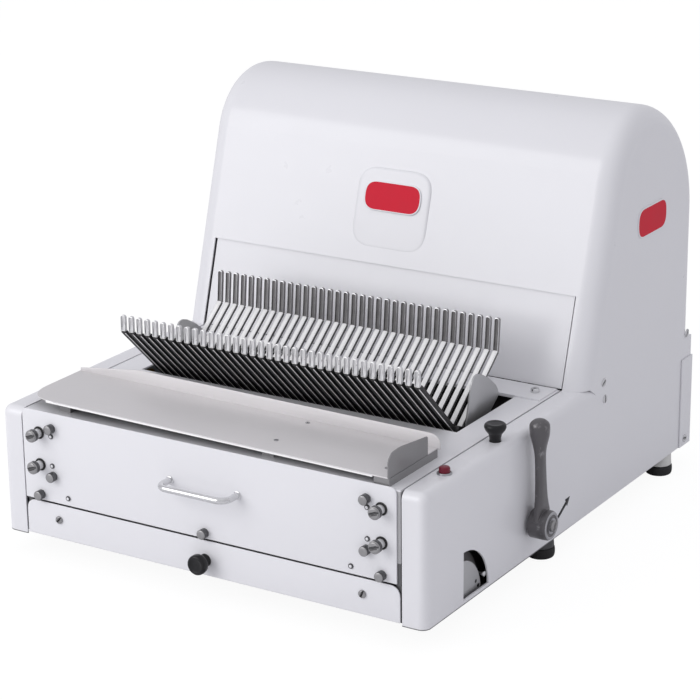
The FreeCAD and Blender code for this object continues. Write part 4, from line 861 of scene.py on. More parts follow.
# ---------- front hardware
@dataclass
class FrontHardware:
    """Studs, cap nuts, screws, pull handle and tray knob on the two front panels."""

    stud_radius: float = 5.5
    stud_head: float = 7.25
    stud_reach: float = 17.0
    nut_radius: float = 5.6
    nut_height: float = 8.6
    screw_radius: float = 3.0
    tray_face: float = -0.4
    handle_rod: float = 3.8
    handle_reach: float = 28.0
    handle_span: float = 44.45
    handle_height: float = 130.6
    handle_bend: float = 12.0
    stud_places: tuple[float, ...] = (224.0, 152.0, 114.0)
    nut_places: tuple[tuple[float, ...], ...] = ((206.0, 160.0, 103.0), (224.5, 78.0))
    middle_nut: Pair = (0.0, 78.0)
    screw_places: tuple[tuple[float, ...], ...] = ((207.0, 150.4, 115.2), (186.5, 80.0))
    tray_screws: tuple[float, ...] = (200.5, 51.5)
    knob_height: float = 46.0

    def build(self, dresser: Dresser) -> None:
        """Build and dress every piece."""
        self.studs().build(dresser, "base", (NUT_STEEL, RUBBER, PALE_STEEL_AND_SHADE, STEEL_SHADE), ["guide_studs"])
        self.nuts().build(dresser, "base", (NUT_STEEL, STEEL_SHADE), ["panel_nuts"])
        self.screws().build(dresser, "base", (STEEL_SHADE, WHITE), ["panel_screws"])
        tray = Piece("slotted_tray_screws")
        for number, (x, z) in enumerate(both_sides(*self.tray_screws)):
            tray.slotted((x, self.tray_face, z), FORWARD, 4.5, 2.4, 50.0 + 15.0 * number)
        tray.build(dresser, "crumb_drawer", (NUT_STEEL, DARK), ["crumb_tray_screws"])
        self.handle().build(dresser, "base", (BRIGHT,), ["front_handle"])
        self.knob().build(dresser, "crumb_drawer", (BLACK_PLASTIC,), ["crumb_tray_knob"])

    def studs(self) -> Piece:
        """Turned studs: black ring on the panel, plain barrel, wider crowned head with a slot; the head's
        side and the slot's floor take painted shade.
        """
        piece = Piece("turned_studs")
        r, head, reach = self.stud_radius, self.stud_head, self.stud_reach
        barrel = [(r * 0.9, -14.0), (r, -13.2), (r, 0.6), (r * 0.93, 1.0), (r * 0.93, 9.2),
                  (head * 0.95, 9.4), (head, 9.9), (head, reach - 2.2), (head * 0.97, reach - 1.6),
                  (head * 0.9, reach - 1.4)]
        ring = [(r * 1.02, 0.02), (r * 1.3, 0.02), (r * 1.34, 0.5), (r * 1.3, 1.2), (r * 1.02, 1.5)]
        marks = (2, 2, 2, 2, 2, 3, 3, 0, 0, 3)
        for x, z in both_sides(*self.stud_places):
            piece.lathe(barrel, (x, 0, z), FORWARD, marks)
            piece.lathe(ring, (x, 0, z), FORWARD, marks=1)
            piece.moons((x, 1.4 - reach, z), FORWARD, head * 0.9, 1.4, 20.0)
        return piece

    def nuts(self) -> Piece:
        """Round cap nuts: straight skirt and a face that is a little crowned; the skirt takes painted shade.
        """
        piece = Piece("cap_nuts")
        r, h = self.nut_radius, self.nut_height
        profile = [(r * 0.94, 0.0), (r * 0.98, 0.3), (r, h - 1.2), (r * 0.95, h - 0.6), (r * 0.84, h - 0.25),
                   (r * 0.5, h - 0.05), (r * 0.05, h)]
        for x, z in rows_of(self.nut_places) + [self.middle_nut]:
            piece.lathe(profile, (x, 0, z), FORWARD, (1, 1, 1, 0, 0, 0, 0))
        return piece

    def screws(self) -> Piece:
        """Small panel screws: a pale crowned middle inside a ring painted dark as its shadow."""
        piece = Piece("slotted_panel_screws")
        r = self.screw_radius
        profile = [(r, 0.0), (r, 1.1), (r * 0.84, 1.6), (r * 0.62, 1.3), (r * 0.58, 1.5), (r * 0.4, 1.9),
                   (0.1, 1.9)]
        for x, z in rows_of(self.screw_places):
            piece.lathe(profile, (x, 0.0, z), FORWARD, (0, 0, 0, 0, 1, 1, 1), 28)
        return piece

    def handle(self) -> Piece:
        """Bow of round bar with a small collar on each foot."""
        piece = Piece("bow_handle")
        depth = self.handle_reach - self.handle_rod
        span, bend, height = self.handle_span, self.handle_bend, self.handle_height
        turn = np.linspace(0, np.pi / 2, 12)
        corner = np.stack((-span + bend - bend * np.cos(turn), -(depth - bend) - bend * np.sin(turn)), 1)
        straight = np.stack((np.full(6, -span), np.linspace(0, -(depth - bend), 6)), 1)[:-1]
        left = np.concatenate((straight, corner))
        right = left[::-1] * (-1, 1)
        flat = np.concatenate((left, right))
        path = np.column_stack((flat, np.full(len(flat), height)))
        piece.tube(path, self.handle_rod * 0.97, 20)
        r = self.handle_rod
        collar = [(r * 1.25, 0.0), (r * 1.3, 0.3), (r * 1.25, 1.1), (r * 1.02, 1.5)]
        for x in (-span, span):
            piece.lathe(collar, (x, 0, height), FORWARD)
        return piece

    def knob(self) -> Piece:
        """Black tray knob: neck and a disc with a round rim and a shallow dish."""
        piece = Piece("tray_knob")
        profile = [(7.4, 0.0), (6.4, 1.0), (5.6, 4.0), (5.8, 7.6), (9.6, 9.2), (11.2, 11.0), (11.5, 13.0),
                   (11.5, 16.4), (11.1, 18.0), (10.2, 19.1), (9.0, 19.5), (8.0, 19.2), (6.6, 18.6),
                   (3.4, 18.3), (0.4, 18.25)]
        return piece.lathe(profile, (0, self.tray_face, self.knob_height), FORWARD)


# ---------- panels and plates
@dataclass
class FrontPanels:
    """The two front sheets with rolled rims and round upper corners."""

    left: float = -246.0
    upper_left: float = -247.0
    upper_right: float = 242.0
    upper_rows: Pair = (71.0, 178.0)
    lower_rows: Pair = (28.0, 69.0)
    upper_cuts: Pair = (0.6, 8.0)
    lower_cuts: Pair = (0.6, 13.0)
    sheet: float = 2.0
    tray_ahead: float = 0.4

    def build(self, dresser: Dresser) -> None:
        """Build and dress both sheets."""
        outline = self.outline((self.upper_left, self.upper_right), self.upper_rows, self.upper_cuts)
        upper = Piece("upper_front_sheet").slab(outline, (0, self.sheet, 0), UPRIGHT_X, self.sheet, 0.6)
        upper.build(dresser, "base", (WHITE,), ["front_panel"])
        outline = self.outline((self.left, -self.left), self.lower_rows, self.lower_cuts)
        seat = (0, self.sheet - self.tray_ahead, 0)
        lower = Piece("crumb_front_sheet").slab(outline, seat, UPRIGHT_X, self.sheet, 0.6)
        lower.build(dresser, "crumb_drawer", (WHITE,), ["crumb_tray_front"])

    @staticmethod
    def outline(across: Pair, up: Pair, cuts: Pair) -> Points:
        """Outline with small lower corners and larger upper ones."""
        (left, right), (low, high) = across, up
        corners = [(left, low), (right, low), (right, high), (left, high)]
        return rounded_outline(corners, (cuts[0], cuts[0], cuts[1], cuts[1]))


@dataclass
class HoodPlates:
    """Raised emblem plate and the two plain enamel plaques."""

    foot_y: float = 357.0
    foot_z: float = 176.0
    lean: float = math.radians(16.7)
    emblem_x: float = -5.5
    emblem_corner: float = 26.0
    half_width: float = 50.0
    low: float = 128.0
    high: float = 223.0
    sheet: float = 2.0
    badge_half: Pair = (38.8, 18.0)
    badge_height: float = 189.0
    side_badge: Pair = (526.0, 343.0)
    side_face: float = 277.0
    badge_sheet: float = 1.2

    def build(self, dresser: Dresser) -> None:
        """Build and dress the plate and the plaques."""
        up = np.array((0.0, math.sin(self.lean), math.cos(self.lean)))
        foot = np.array((0.0, self.foot_y, self.foot_z))
        out = np.cross(X_AXIS, up)
        middle = foot + up * (self.low + self.high) / 2 + np.array((self.emblem_x, 0, 0))
        plate = box_outline(2 * self.half_width, self.high - self.low, self.emblem_corner, 12)
        rows = [(0.0, 0.0), (0.25, 0.55), (0.9, 1.1), (1.9, 1.55), (3.4, 1.85), (5.4, 1.98)]
        piece = Piece("raised_plate").layers(plate, middle, (X_AXIS, up), rows)
        self.taper(piece, middle, up, out).build(dresser, "base", (WHITE,), ["emblem_plate"], 60.0)
        badges = Piece("enamel_plaques")
        seat = foot + up * self.badge_height + out * (self.sheet - 0.02) + np.array((self.emblem_x, 0, 0))
        self.plaque(badges, seat, (X_AXIS, up))
        y, z = self.side_badge
        self.plaque(badges, (self.side_face, y, z), UPRIGHT_Y)
        badges.build(dresser, "base", (RED_ENAMEL, WHITE), ["badge_plaques"])

    def taper(self, piece: Piece, middle: Points, up: Points, out: Points) -> Piece:
        """Thin the plate towards its foot.

        A point's height off the hood is multiplied by 0.12 + 0.88 s, where s runs from 0 at
        the foot to 1 halfway up along the curve 3t^2 - 2t^3.
        """
        points = piece.points[0]
        t = np.clip(((points - middle) @ up) / (self.high - self.low) * 2 + 1, 0, 1)
        s = 3 * t ** 2 - 2 * t ** 3
        height = (points - middle) @ out
        piece.points[0] = points + ((0.12 + 0.88 * s - 1) * height)[:, None] * out
        return piece

    def plaque(self, piece: Piece, base: Floats,
               across: Across) -> None:
        """Add a plain red plaque with a thin white border and large round corners."""
        half_x, half_z = self.badge_half
        outline = box_outline(2 * half_x, 2 * half_z, half_z * 0.92, 14)
        h = self.badge_sheet
        rows = [(0.0, 0.0), (0.0, h * 0.6), (0.3, h * 0.85), (0.8, h * 0.95), (1.5, h), (1.6, h * 0.9)]
        piece.layers(outline, base, across, rows, marks=(1, 1, 1, 1, 1, 0))


# ---------- combs
@dataclass
class Comb:
    """Row of fingers with straight shanks and upright round-ended tips."""

    name: str
    body: str
    count: int
    base: Pair
    knee: Pair
    tip: Pair
    shank_nodes: str
    tip_nodes: str
    shank_finishes: tuple[Any, Any]
    tip_finishes: tuple[Any, Any]
    shank_kind: str
    tip_kind: str
    pitch: float = 11.1125
    width: float = 6.2
    depth: float = 4.4

    def build(self, dresser: Dresser) -> None:
        """Build and dress the shanks and the tips."""
        places = (np.arange(self.count) - (self.count - 1) / 2) * self.pitch
        shifts = np.zeros((self.count, 3))
        shifts[:, 0] = places
        shank = self.bar(f"{self.name}_shanks", self.base, self.knee, False, self.shank_kind)
        shank.repeat(shifts).build(dresser, self.body, self.shank_finishes, [self.shank_nodes])
        point = self.bar(f"{self.name}_points", self.knee, self.tip, True, self.tip_kind)
        point.repeat(shifts).build(dresser, self.body, self.tip_finishes, [self.tip_nodes])

    def bar(self, name: str, start: Floats, end: Floats, round_end: bool,
            kind: str) -> Piece:
        """One bar between two (y, z) points.

        Args:
            name: the piece's name.
            start: lower end.
            end: upper end.
            round_end: whether the upper end is a half circle.
            kind: "hollow" has a sunk channel along its near face, "edge" a bright rail at its
            right that is a painted highlight, "plain" neither; the flanks take the second
            material, but for "edge". Elsewhere the second material is a darker copy that paints
            shade on the flanks and in the channel; for "edge" it colours the rail.

        Returns:
            The piece.
        """
        low, high = np.array((0.0, *start)), np.array((0.0, *end))
        along = unit(high - low)
        near = np.cross(X_AXIS, along)
        length = float(np.linalg.norm(high - low))
        half = self.width / 2
        tall = 2.4 * half if round_end else 0.25
        outline = rounded_outline([(-half, 0.0), (half, 0.0), (half, length), (-half, length)],
                                  (0.25, 0.25, min(tall, half * 0.999), min(tall, half * 0.999)), 9)
        d = self.depth
        rows = [(0.5, 0.0), (0.12, 0.15), (0.0, 0.5), (0.0, d - 0.5), (0.12, d - 0.15), (0.45, d)]
        marks = [0] * len(rows)
        piece = Piece(name)
        if kind == "hollow":
            rows += [(0.75, d), (0.9, d - 1.4)]
            marks = [0] * (len(rows) - 2) + [1, 1]
        if kind != "edge":
            marks[2] = 1
        if kind == "edge":
            rail = rounded_outline([(half - 1.3, 2.0), (half - 0.1, 2.0), (half - 0.1, length - 1.0),
                                    (half - 1.3, length - 1.0)], 0.2, 3)
            piece.slab(rail, low + near * (d / 2 - 0.1), (X_AXIS, along), 0.4, 0.1, 1)
        return piece.layers(outline, low - near * d / 2, (X_AXIS, along), rows, marks)


# ---------- bagging tray
@dataclass
class BaggingTray:
    """Stainless shelf that falls towards its fence, with an upright lip behind and a rolled front edge."""

    top: float = 186.6
    slope: float = 5.6
    sheet: float = 1.5
    left: float = -243.0
    right: float = 231.5
    front: float = 2.0
    back: float = 104.5
    corner: float = 28.0
    fence: float = 26.3
    fence_back: float = 83.0
    fence_fall: float = 6.7
    lip: float = 15.0
    lip_right: float = 234.9
    lip_low: float = 3.3
    lip_taper: float = 84.0
    hem_right: float = 212.0
    screws: tuple[Pair, ...] = ((74.0, 32.2), (74.0, 94.4), (216.4, 24.7))

    def height(self, x: float) -> float:
        """Height of the upper face at x."""
        return self.top + self.slope * (self.right - x) / (self.right - self.left)

    def build(self, dresser: Dresser) -> None:
        """Build and dress the shelf and its screws."""
        piece = Piece("steel_shelf")
        fall = unit((self.right - self.left, 0.0, -self.slope))
        corners = [(self.left, self.front), (self.right, self.front), (self.right, self.back),
                   (self.left, self.back)]
        plate = rounded_outline(corners, (1.42 * self.corner, 1.2, 0.4, 0.4), 16)
        under = (0, 0, self.height(0.0) - self.sheet)
        piece.slab(plate, under, (fall, Y_AXIS), self.sheet, 0.5)
        # The rolled front edge takes the third material, white as a painted highlight.
        start, end = self.left + self.corner + 1.0, self.hem_right
        edge_strip = rounded_outline([(start, -3.1), (end, -3.1), (end, -0.1), (start, -0.1)], 0.8, 4)
        piece.slab(edge_strip, (0, self.front + 1.6, self.height(0.0)), (fall, Z_AXIS), 1.6, 0.7, 2)
        self.upright(piece)
        piece.build(dresser, "base", (STAINLESS, STAINLESS_SHADE, STEEL_PAINTED_HIGHLIGHT), ["bagging_tray"])
        screws = Piece("shelf_screw_heads")
        for x, y in self.screws:
            screws.slotted((x, y, self.height(x)), Z_AXIS, 2.6, 0.8, 20.0 + y)
        screws.build(dresser, "base", (MACHINED, DARK), ["bagging_tray_screws"])

    def upright(self, piece: Piece) -> None:
        """Add the rear lip, which starts low at its left end, and the fence at the right end."""
        left, right, sheet = self.left, self.lip_right, self.sheet
        full = left + self.lip_taper
        lip = [(left, self.height(left) - sheet), (right, self.height(right) - sheet),
               (right, self.height(right) + self.lip), (full, self.height(full) + self.lip),
               (left, self.height(left) + self.lip_low)]
        outline = rounded_outline(lip, (0.4, 0.4, 14.0, 8.0, 1.0), 9)
        piece.slab(outline, (0, self.back, 0), UPRIGHT_X, sheet, 0.5)
        # The fence takes the second material, a darker copy of the shelf's steel as painted shade.
        low, top = self.top - sheet, self.top + self.fence
        fence = [(self.front, low), (self.fence_back, low), (self.fence_back, top - self.fence_fall),
                 (self.front + 24.0, top), (self.front + 8.0, top - 1.0), (self.front, top - 8.0)]
        outline = rounded_outline(fence, (0.5, 0.5, 2.5, 6.0, 3.0, 3.0), 6)
        piece.slab(outline, (self.right - sheet, 0, 0), UPRIGHT_Y, sheet, 0.5, 1)


# ---------- lever
@dataclass
class Lever:
    """Cast lever: thick round boss with a machined face, straight arm and a drop-shaped grip."""

    axis_at: Pair = (230.0, 67.0)
    ball_at: Pair = (222.0, 181.0)
    hub_inner: float = 280.5
    hub_outer: float = 304.0
    hub_radius: float = 17.0
    arm_middle: float = 291.0
    ball_radius: float = 12.0

    def build(self, dresser: Dresser) -> None:
        """Build and dress the lever and its bolt."""
        self.casting().build(dresser, "lever", (LEVER_GREY, MACHINED), ["crank_lever"], 50.0)
        self.bolt().build(dresser, "lever", (NUT_STEEL, DARK), ["lever_bolt"])

    def casting(self) -> Piece:
        """Hub, arm and grip.

        The arm and the grip are one loft of ovals along the lever. Half width and half
        thickness are interpolated between the stations, which are distances from the hub's
        axis, and smoothed once with the weights 1/4, 1/2, 1/4. A power under 1 on the cosine
        and the sine makes an oval squarer: it grows from 0.55 on the arm to 1 at the grip.
        """
        piece = Piece("cast_lever")
        r = self.hub_radius
        depth = self.hub_outer - self.hub_inner
        profile = [(r * 0.9, 0.0), (r * 0.98, 0.6), (r, 2.0), (r, depth - 6.0), (r * 0.985, depth - 3.0),
                   (r * 0.93, depth - 1.0), (r * 0.86, depth - 0.2), (r * 0.8, depth),
                   (r * 0.74, depth - 0.6), (r * 0.52, depth - 0.6), (r * 0.5, depth - 0.1),
                   (r * 0.3, depth - 0.1)]
        marks = [0, 0, 0, 0, 0, 1, 1, 1, 0, 1, 1, 1]
        hub = (self.hub_inner, *self.axis_at)
        piece.lathe(profile, hub, X_AXIS, marks, 56)
        centre = np.array((self.arm_middle, *self.axis_at))
        ball = np.array((self.arm_middle, *self.ball_at))
        along = unit(ball - centre)
        reach = float(np.linalg.norm(ball - centre)) + self.ball_radius
        stations = np.array((8.0, 16.0, 24.0, 34.0, 50.0, 70.0, 84.0, 92.0, 100.0, 108.0, reach - 7.0,
                             reach - 3.0, reach - 1.0, reach - 0.05))
        half_width = np.array((15.5, 14.4, 11.4, 9.4, 8.7, 8.5, 8.5, 9.0, 10.2, 11.4, 11.6, 8.6, 5.2, 0.6))
        half_thick = np.array((4.4, 4.5, 4.6, 4.6, 4.6, 4.7, 5.2, 6.6, 8.8, 11.0, 11.6, 8.6, 5.2, 0.6))
        cap = reach - np.array((5.0, 3.4, 2.0, 1.0, 0.4, 0.05))
        fine = np.concatenate((np.linspace(8.0, reach - 7.0, 30), cap))
        width = np.interp(fine, stations, half_width)
        thick = np.interp(fine, stations, half_thick)
        soft = np.array((0.25, 0.5, 0.25))
        width[1:-1] = np.convolve(width, soft, "valid")
        thick[1:-1] = np.convolve(thick, soft, "valid")
        turn = np.linspace(0, 2 * np.pi, 32, endpoint=False)
        power = np.interp(fine, (30.0, 95.0), (0.55, 1.0))[:, None]
        x = np.sign(np.cos(turn)) * np.abs(np.cos(turn)) ** power * thick[:, None]
        y = np.sign(np.sin(turn)) * np.abs(np.sin(turn)) ** power * width[:, None]
        side = np.cross(along, X_AXIS)
        rings = centre + fine[:, None, None] * along + x[..., None] * np.array(X_AXIS) + y[..., None] * side
        return piece.rings(rings)

    def bolt(self) -> Piece:
        """Low slotted bolt head in the middle of the hub."""
        piece = Piece("hub_bolt")
        piece.slotted((self.hub_outer - 0.1, *self.axis_at), X_AXIS, 6.4, 3.5, 60.0)
        return piece


# ---------- controls
@dataclass
class Controls:
    """Mushroom start knob, red stop button in its bezel, and the quadrant behind the window."""

    deck: float = 176.0
    knob_at: Pair = (260.5, 177.0)
    button_at: Pair = (261.0, 66.0)
    window_at: Pair = (79.0, 25.0)
    discs: tuple[tuple[float, float, int], ...] = ((46.9, 269.05, 0), (57.9, 260.05, 3))
    disc_sheet: float = 2.9
    post_inner: float = 248.0
    post_length: float = 21.2
    holes: tuple[Pair, ...] = ((115.0, 38.0), (120.0, 31.5))
    hole_face: float = 271.6
    pin_at: Triple = (262.5, 128.5, 42.0)

    def build(self, dresser: Dresser) -> None:
        """Build and dress the controls."""
        self.knob().build(dresser, "start_control", (BLACK_PLASTIC,), ["start_knob"])
        self.button().build(dresser, "stop_control", (RED_PLASTIC,), ["stop_button"])
        self.bezel().build(dresser, "base", (MACHINED,), ["button_bezel"])
        plate_finishes = (STAINLESS_UPRIGHT, BLACK_PLASTIC, BRIGHT, DARK_STEEL_AND_SHADE)
        self.quadrant().build(dresser, "base", plate_finishes, ["quadrant_plate"])

    def knob(self) -> Piece:
        """Black mushroom with a dished top on a plain stem."""
        profile = [(6.3, -7.0), (6.4, 0.0), (6.4, 4.2), (6.6, 4.6), (6.8, 5.5), (7.2, 8.0), (9.0, 10.2),
                   (11.0, 12.8), (12.0, 15.2), (12.25, 16.9), (12.0, 18.2), (11.3, 19.4), (10.2, 20.3),
                   (9.2, 20.5), (7.8, 20.1), (4.0, 19.7), (0.4, 19.65)]
        return Piece("mushroom_knob").lathe(profile, (*self.knob_at, self.deck), Z_AXIS)

    def button(self) -> Piece:
        """Red cap with a softly crowned top."""
        profile = [(6.0, -7.0), (6.1, 0.0), (6.1, 5.6), (5.9, 6.7), (5.2, 7.5), (3.8, 7.85), (1.8, 7.98),
                   (0.2, 8.0)]
        return Piece("red_cap").lathe(profile, (*self.button_at, self.deck), Z_AXIS)

    def bezel(self) -> Piece:
        """Round collar about the button."""
        profile = [(6.6, 0.0), (8.2, 0.0), (8.25, 0.6), (8.0, 1.5), (7.4, 2.0), (6.8, 2.0), (6.6, 1.6),
                   (6.6, 0.0)]
        return Piece("button_collar").lathe(profile, (*self.button_at, self.deck), Z_AXIS, caps=False)

    def quadrant(self) -> Piece:
        """Stepped quarter disc on its post, with two black discs painted as the shade of two holes, and a
        bright pin on its rear step.
        """
        piece = Piece("window_quadrant")
        y0, z0 = self.window_at
        turn = np.linspace(0, np.pi / 2, 24)
        for radius, near, mark in self.discs:
            arc = np.stack((np.cos(turn), np.sin(turn)), 1) * radius
            outline = np.concatenate(([(0.0, 0.0)], arc))
            piece.slab(outline, (near, y0, z0), UPRIGHT_Y, self.disc_sheet, 0.4, mark)
        post = box_outline(12.0, 12.0, 0.8, 4)
        middle = (self.post_inner, y0 + 6.0, z0 + 6.0)
        piece.slab(post, middle, UPRIGHT_Y, self.post_length, 0.2)
        # Thin black discs painted as the shade inside the holes.
        for y, z in self.holes:
            piece.lathe([(2.2, 0.0), (2.3, 0.35), (0.3, 0.4)], (self.hole_face, y, z), X_AXIS, 1, 20)
        pin = [(2.4, 0.0), (2.5, 10.0), (3.2, 10.4), (3.4, 11.4), (2.9, 12.6), (1.6, 13.2), (0.2, 13.3)]
        piece.lathe(pin, self.pin_at, X_AXIS, 2, 24)
        return piece


# ---------- feet
@dataclass
class Feet:
    """Moulded rubber feet under tapered spacers; the front spacers are painted dark as shade, the rear ones
    are pale.
    """

    places: tuple[Pair, ...] = ((258.0, 292.0), (264.0, 595.0))

    def build(self, dresser: Dresser) -> None:
        """Build and dress the feet and the spacers."""
        rubber = Piece("moulded_feet")
        spacers = Piece("tapered_spacers")
        foot = [(14.6, 0.0), (15.4, 0.5), (16.1, 2.0), (16.5, 4.5), (16.5, 8.5), (16.2, 10.8), (15.6, 11.7),
                (14.6, 12.0)]
        spacer = [(14.8, 12.0), (15.4, 12.5), (15.5, 14.0), (15.2, 17.0), (15.0, 21.0), (15.0, 25.0)]
        # Mark 0 gives the front spacers painted shade, mark 1 the rear spacers pale nylon.
        for sign in (-1, 1):
            for mark, (side, y) in enumerate(self.places):
                rubber.lathe(foot, (sign * side, y, 0), Z_AXIS)
                spacers.lathe(spacer, (sign * side, y, 0), Z_AXIS, mark)
        rubber.build(dresser, "base", (RUBBER,), ["rubber_feet"])
        spacers.build(dresser, "base", (STEEL_SHADE, NYLON), ["foot_spacers"])


# ---------- end plates, screws, marks
@dataclass
class SmallParts:
    """Comb cheeks, the screws of the hood and covers, and the arrow beside the lever."""

    cheek_inner: float = 198.6
    cheek_sheet: float = 2.0
    cheek_size: float = 70.0
    pivot: Pair = (229.0, 145.0)
    cover: float = 277.0
    side_screws: tuple[Triple, ...] = (
        (407.0, 176.0, 277.0), (411.0, 154.8, 277.0), (637.0, 34.0, 278.8), (637.0, 171.2, 277.0))
    sill_screw: Triple = (226.0, 334.8, 177.5)
    arrow_ends: tuple[Pair, ...] = ((297.0, 48.0), (326.0, 64.0))

    def build(self, dresser: Dresser) -> None:
        """Build and dress the pieces."""
        self.cheeks().build(dresser, "rear_comb", (STAINLESS_UPRIGHT,), ["comb_end_plates"])
        self.screws().build(dresser, "base", (BRIGHT, DARK), ["hood_screws"])
        self.arrow().build(dresser, "base", (BLACK_PLASTIC,), slot="black_plastic")

    def cheeks(self) -> Piece:
        """Rounded plates at the ends of the rear comb; the corners are shares of cheek_size."""
        corners = [(-0.1, 0.39), (-0.04, 0.64), (0.02, 0.89), (0.06, 0.99), (0.13, 1.07), (0.23, 1.09),
                   (0.37, 1.05), (0.62, 0.91), (0.86, 0.72), (0.93, 0.62), (0.95, 0.52), (0.47, 0.19)]
        scaled = [(y * self.cheek_size, z * self.cheek_size) for y, z in corners]
        outline = rounded_outline([(-10.0, 0.0), *scaled, (10.0, 0.0), (0.0, -10.0)][::-1], 2.4, 5)
        piece = Piece("comb_cheeks")
        for x in (-self.cheek_inner - self.cheek_sheet, self.cheek_inner):
            piece.slab(outline, (x, *self.pivot), UPRIGHT_Y, self.cheek_sheet, 0.5)
        return piece

    def screws(self) -> Piece:
        """Slotted heads on the sill and on both sides."""
        piece = Piece("slotted_side_screws")
        x, *sill = self.sill_screw
        for sign in (-1, 1):
            for number, (y, z, face) in enumerate(self.side_screws):
                turn = 25.0 + 70.0 * number
                piece.slotted((sign * face, y, z), (sign, 0, 0), 5.1, 1.0, turn)
            piece.slotted((sign * x, *sill), Z_AXIS, 5.2, 4.8, 80.0)
        return piece

    def arrow(self) -> Piece:
        """Plain arrow printed on the cover behind the lever's hub."""
        start, end = np.array(self.arrow_ends)
        along = unit(end - start)
        side = np.array((-along[1], along[0]))
        shaft = end - along * 11.0
        points = [start - side * 2.3, shaft - side * 2.3, shaft - side * 5.6, end, shaft + side * 5.6,
                  shaft + side * 2.3, start + side * 2.3]
        return Piece("printed_arrow").slab(np.array(points), (self.cover, 0, 0), UPRIGHT_Y, 0.12, 0.02)


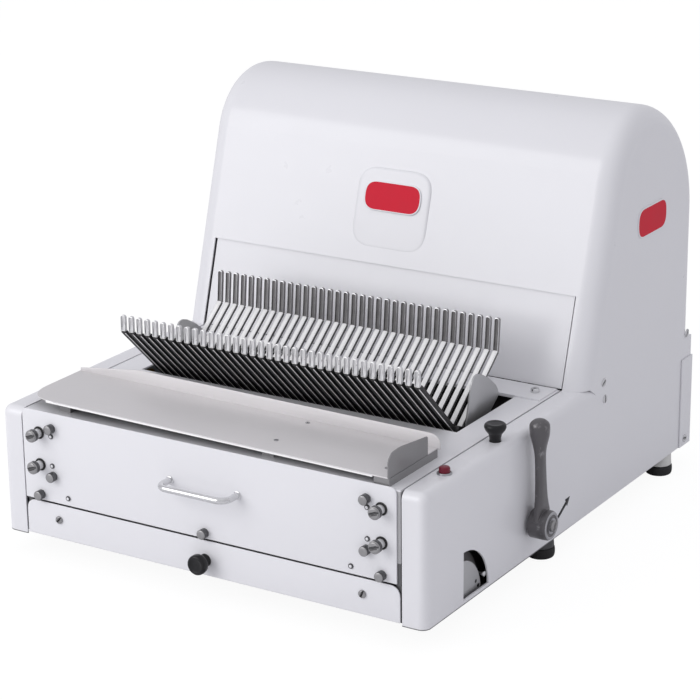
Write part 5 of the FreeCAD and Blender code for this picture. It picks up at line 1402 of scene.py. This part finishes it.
# ---------- studio
@dataclass
class Studio:
    """Camera, soft lamps, white world and a pale floor that keeps the shadow."""

    camera_at: Triple = (1428.0, -1984.9, 1098.0)
    azimuth: float = 31.99
    elevation: float = 18.43
    roll: float = -0.64
    focal: float = 125.12
    sensor: float = 36.0
    sky_colour: Colour = (0.945, 0.945, 0.99)
    sky_strength: float = 0.69
    floor_half: float = 6.0
    floor_colour: Colour = (0.85, 0.85, 0.86)
    floor_glow: float = 1.06
    floor_white: float = 0.88

    def build(self) -> None:
        """Set up everything round the object."""
        self.camera()
        self.world()
        self.floor()
        self.lamps()
        bpy.context.scene.view_settings.view_transform = "Standard"

    def camera(self) -> None:
        """Camera at the viewing angle, with its roll about the line of sight."""
        turn, rise, roll = (math.radians(angle) for angle in (self.azimuth, self.elevation, self.roll))
        ahead = Vector((-math.sin(turn) * math.cos(rise), math.cos(turn) * math.cos(rise), -math.sin(rise)))
        right = Vector((math.cos(turn), math.sin(turn), 0.0))
        up = right.cross(ahead)
        rolled = (right * math.cos(roll) + up * math.sin(roll), up * math.cos(roll) - right * math.sin(roll))
        data = bpy.data.cameras.new("camera")
        data.lens = self.focal
        data.sensor_width = self.sensor
        data.clip_end = 50.0
        camera = add_object("camera", data)
        axes = Matrix((rolled[0], rolled[1], -ahead)).transposed()
        camera.matrix_world = Matrix.Translation(Vector(place(*self.camera_at))) @ axes.to_4x4()
        bpy.context.scene.camera = camera

    def world(self) -> None:
        """World that lights softly and shows white to the camera."""
        world = bpy.data.worlds.new("world")
        bpy.context.scene.world = world
        nodes = Nodes(world, "ShaderNodeOutputWorld")
        rays = nodes.node("ShaderNodeLightPath").outputs
        seen = nodes.node("ShaderNodeBackground", Color=(1, 1, 1)).outputs[0]
        sky = nodes.node("ShaderNodeBackground", Color=self.sky_colour, Strength=self.sky_strength)
        shown = nodes.maths("MAXIMUM", rays["Is Camera Ray"], rays["Is Transmission Ray"])
        nodes.blend(shown, sky.outputs[0], seen)

    def floor(self) -> None:
        """Pale floor: white to the camera, with a share of its lit colour that keeps the shadow."""
        half = self.floor_half
        corners = [(-half, -half, 0), (half, -half, 0), (half, half, 0), (-half, half, 0)]
        mesh = bpy.data.meshes.new("floor")
        mesh.from_pydata(corners, [], [(0, 1, 2, 3)])
        floor = add_object("floor", mesh)
        shader = Shader("pale_floor")
        lit = shader.node("ShaderNodeBsdfDiffuse", Color=self.floor_colour).outputs[0]
        white = shader.node("ShaderNodeEmission", Color=(1, 1, 1), Strength=self.floor_glow).outputs[0]
        seen = Value(shader, shader.node("ShaderNodeLightPath").outputs["Is Camera Ray"])
        shader.blend(seen * self.floor_white, lit, white)
        mesh.materials.append(shader.material)

    def lamps(self) -> None:
        """Large soft key from the front left and a weak top light."""
        self.lamp("key", (-1500, -2300, 1500), (0, 250, 180), 2.2, 40.5)
        self.lamp("top", (-200, 300, 2500), (0, 300, 0), 2.6, 3.0)

    def lamp(self, name: str, at: Floats, aim: Floats, size: float, power: float) -> None:
        """Square area lamp.

        Args:
            name: the lamp's name.
            at: its place, in machine millimetres.
            aim: the point it faces, in machine millimetres.
            size: its side, in metres.
            power: its power, in watts.
        """
        data = bpy.data.lights.new(name, "AREA")
        data.size = size
        data.energy = power
        lamp = add_object(name, data)
        start, end = Vector(place(*at)), Vector(place(*aim))
        lamp.location = start
        lamp.rotation_euler = (end - start).to_track_quat("-Z", "Y").to_euler()


def build_details(dresser: Dresser) -> None:
    """Build every piece that stands for a CAD node."""
    FrontHardware().build(dresser)
    FrontPanels().build(dresser)
    HoodPlates().build(dresser)
    # Front comb: the shanks are dark as painted shade of their undersides, with a painted highlight rail; the
    # tips' flanks and channels take painted shade.
    front = Comb("front_comb", "front_comb", 36, (203.0, 166.0), (125.0, 241.5), (125.0, 260.5),
                 "front_comb_fingers", "front_comb_tips", (DARK, STEEL_PAINTED_HIGHLIGHT), (TIP_STEEL, PALE_STEEL_AND_SHADE),
                 "edge", "hollow")
    # Rear comb: the shanks' faces are white as a painted highlight and their flanks take painted shade; the
    # tips' flanks and channels take painted shade.
    rear = Comb("rear_comb", "rear_comb", 35, (225.0, 161.0), (309.5, 227.0), (313.0, 266.0),
                "rear_comb_fingers", "rear_comb_tips", (STEEL_PAINTED_HIGHLIGHT, COMB_SIDE_SHADE), (COMB_STEEL, DARK_STEEL_AND_SHADE),
                "plain", "hollow")
    front.build(dresser)
    rear.build(dresser)
    BaggingTray().build(dresser)
    Lever().build(dresser)
    Controls().build(dresser)
    Feet().build(dresser)
    SmallParts().build(dresser)


def main() -> None:
    """Dress the slicer and set up its studio."""
    logging.basicConfig(level=logging.INFO, format="%(message)s")
    Studio().build()
    dresser = Dresser()
    dresser.dress_nodes()
    build_details(dresser)
    LOG.info("dressed %d nodes", len(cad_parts))


if __name__ == "__main__":
    main()
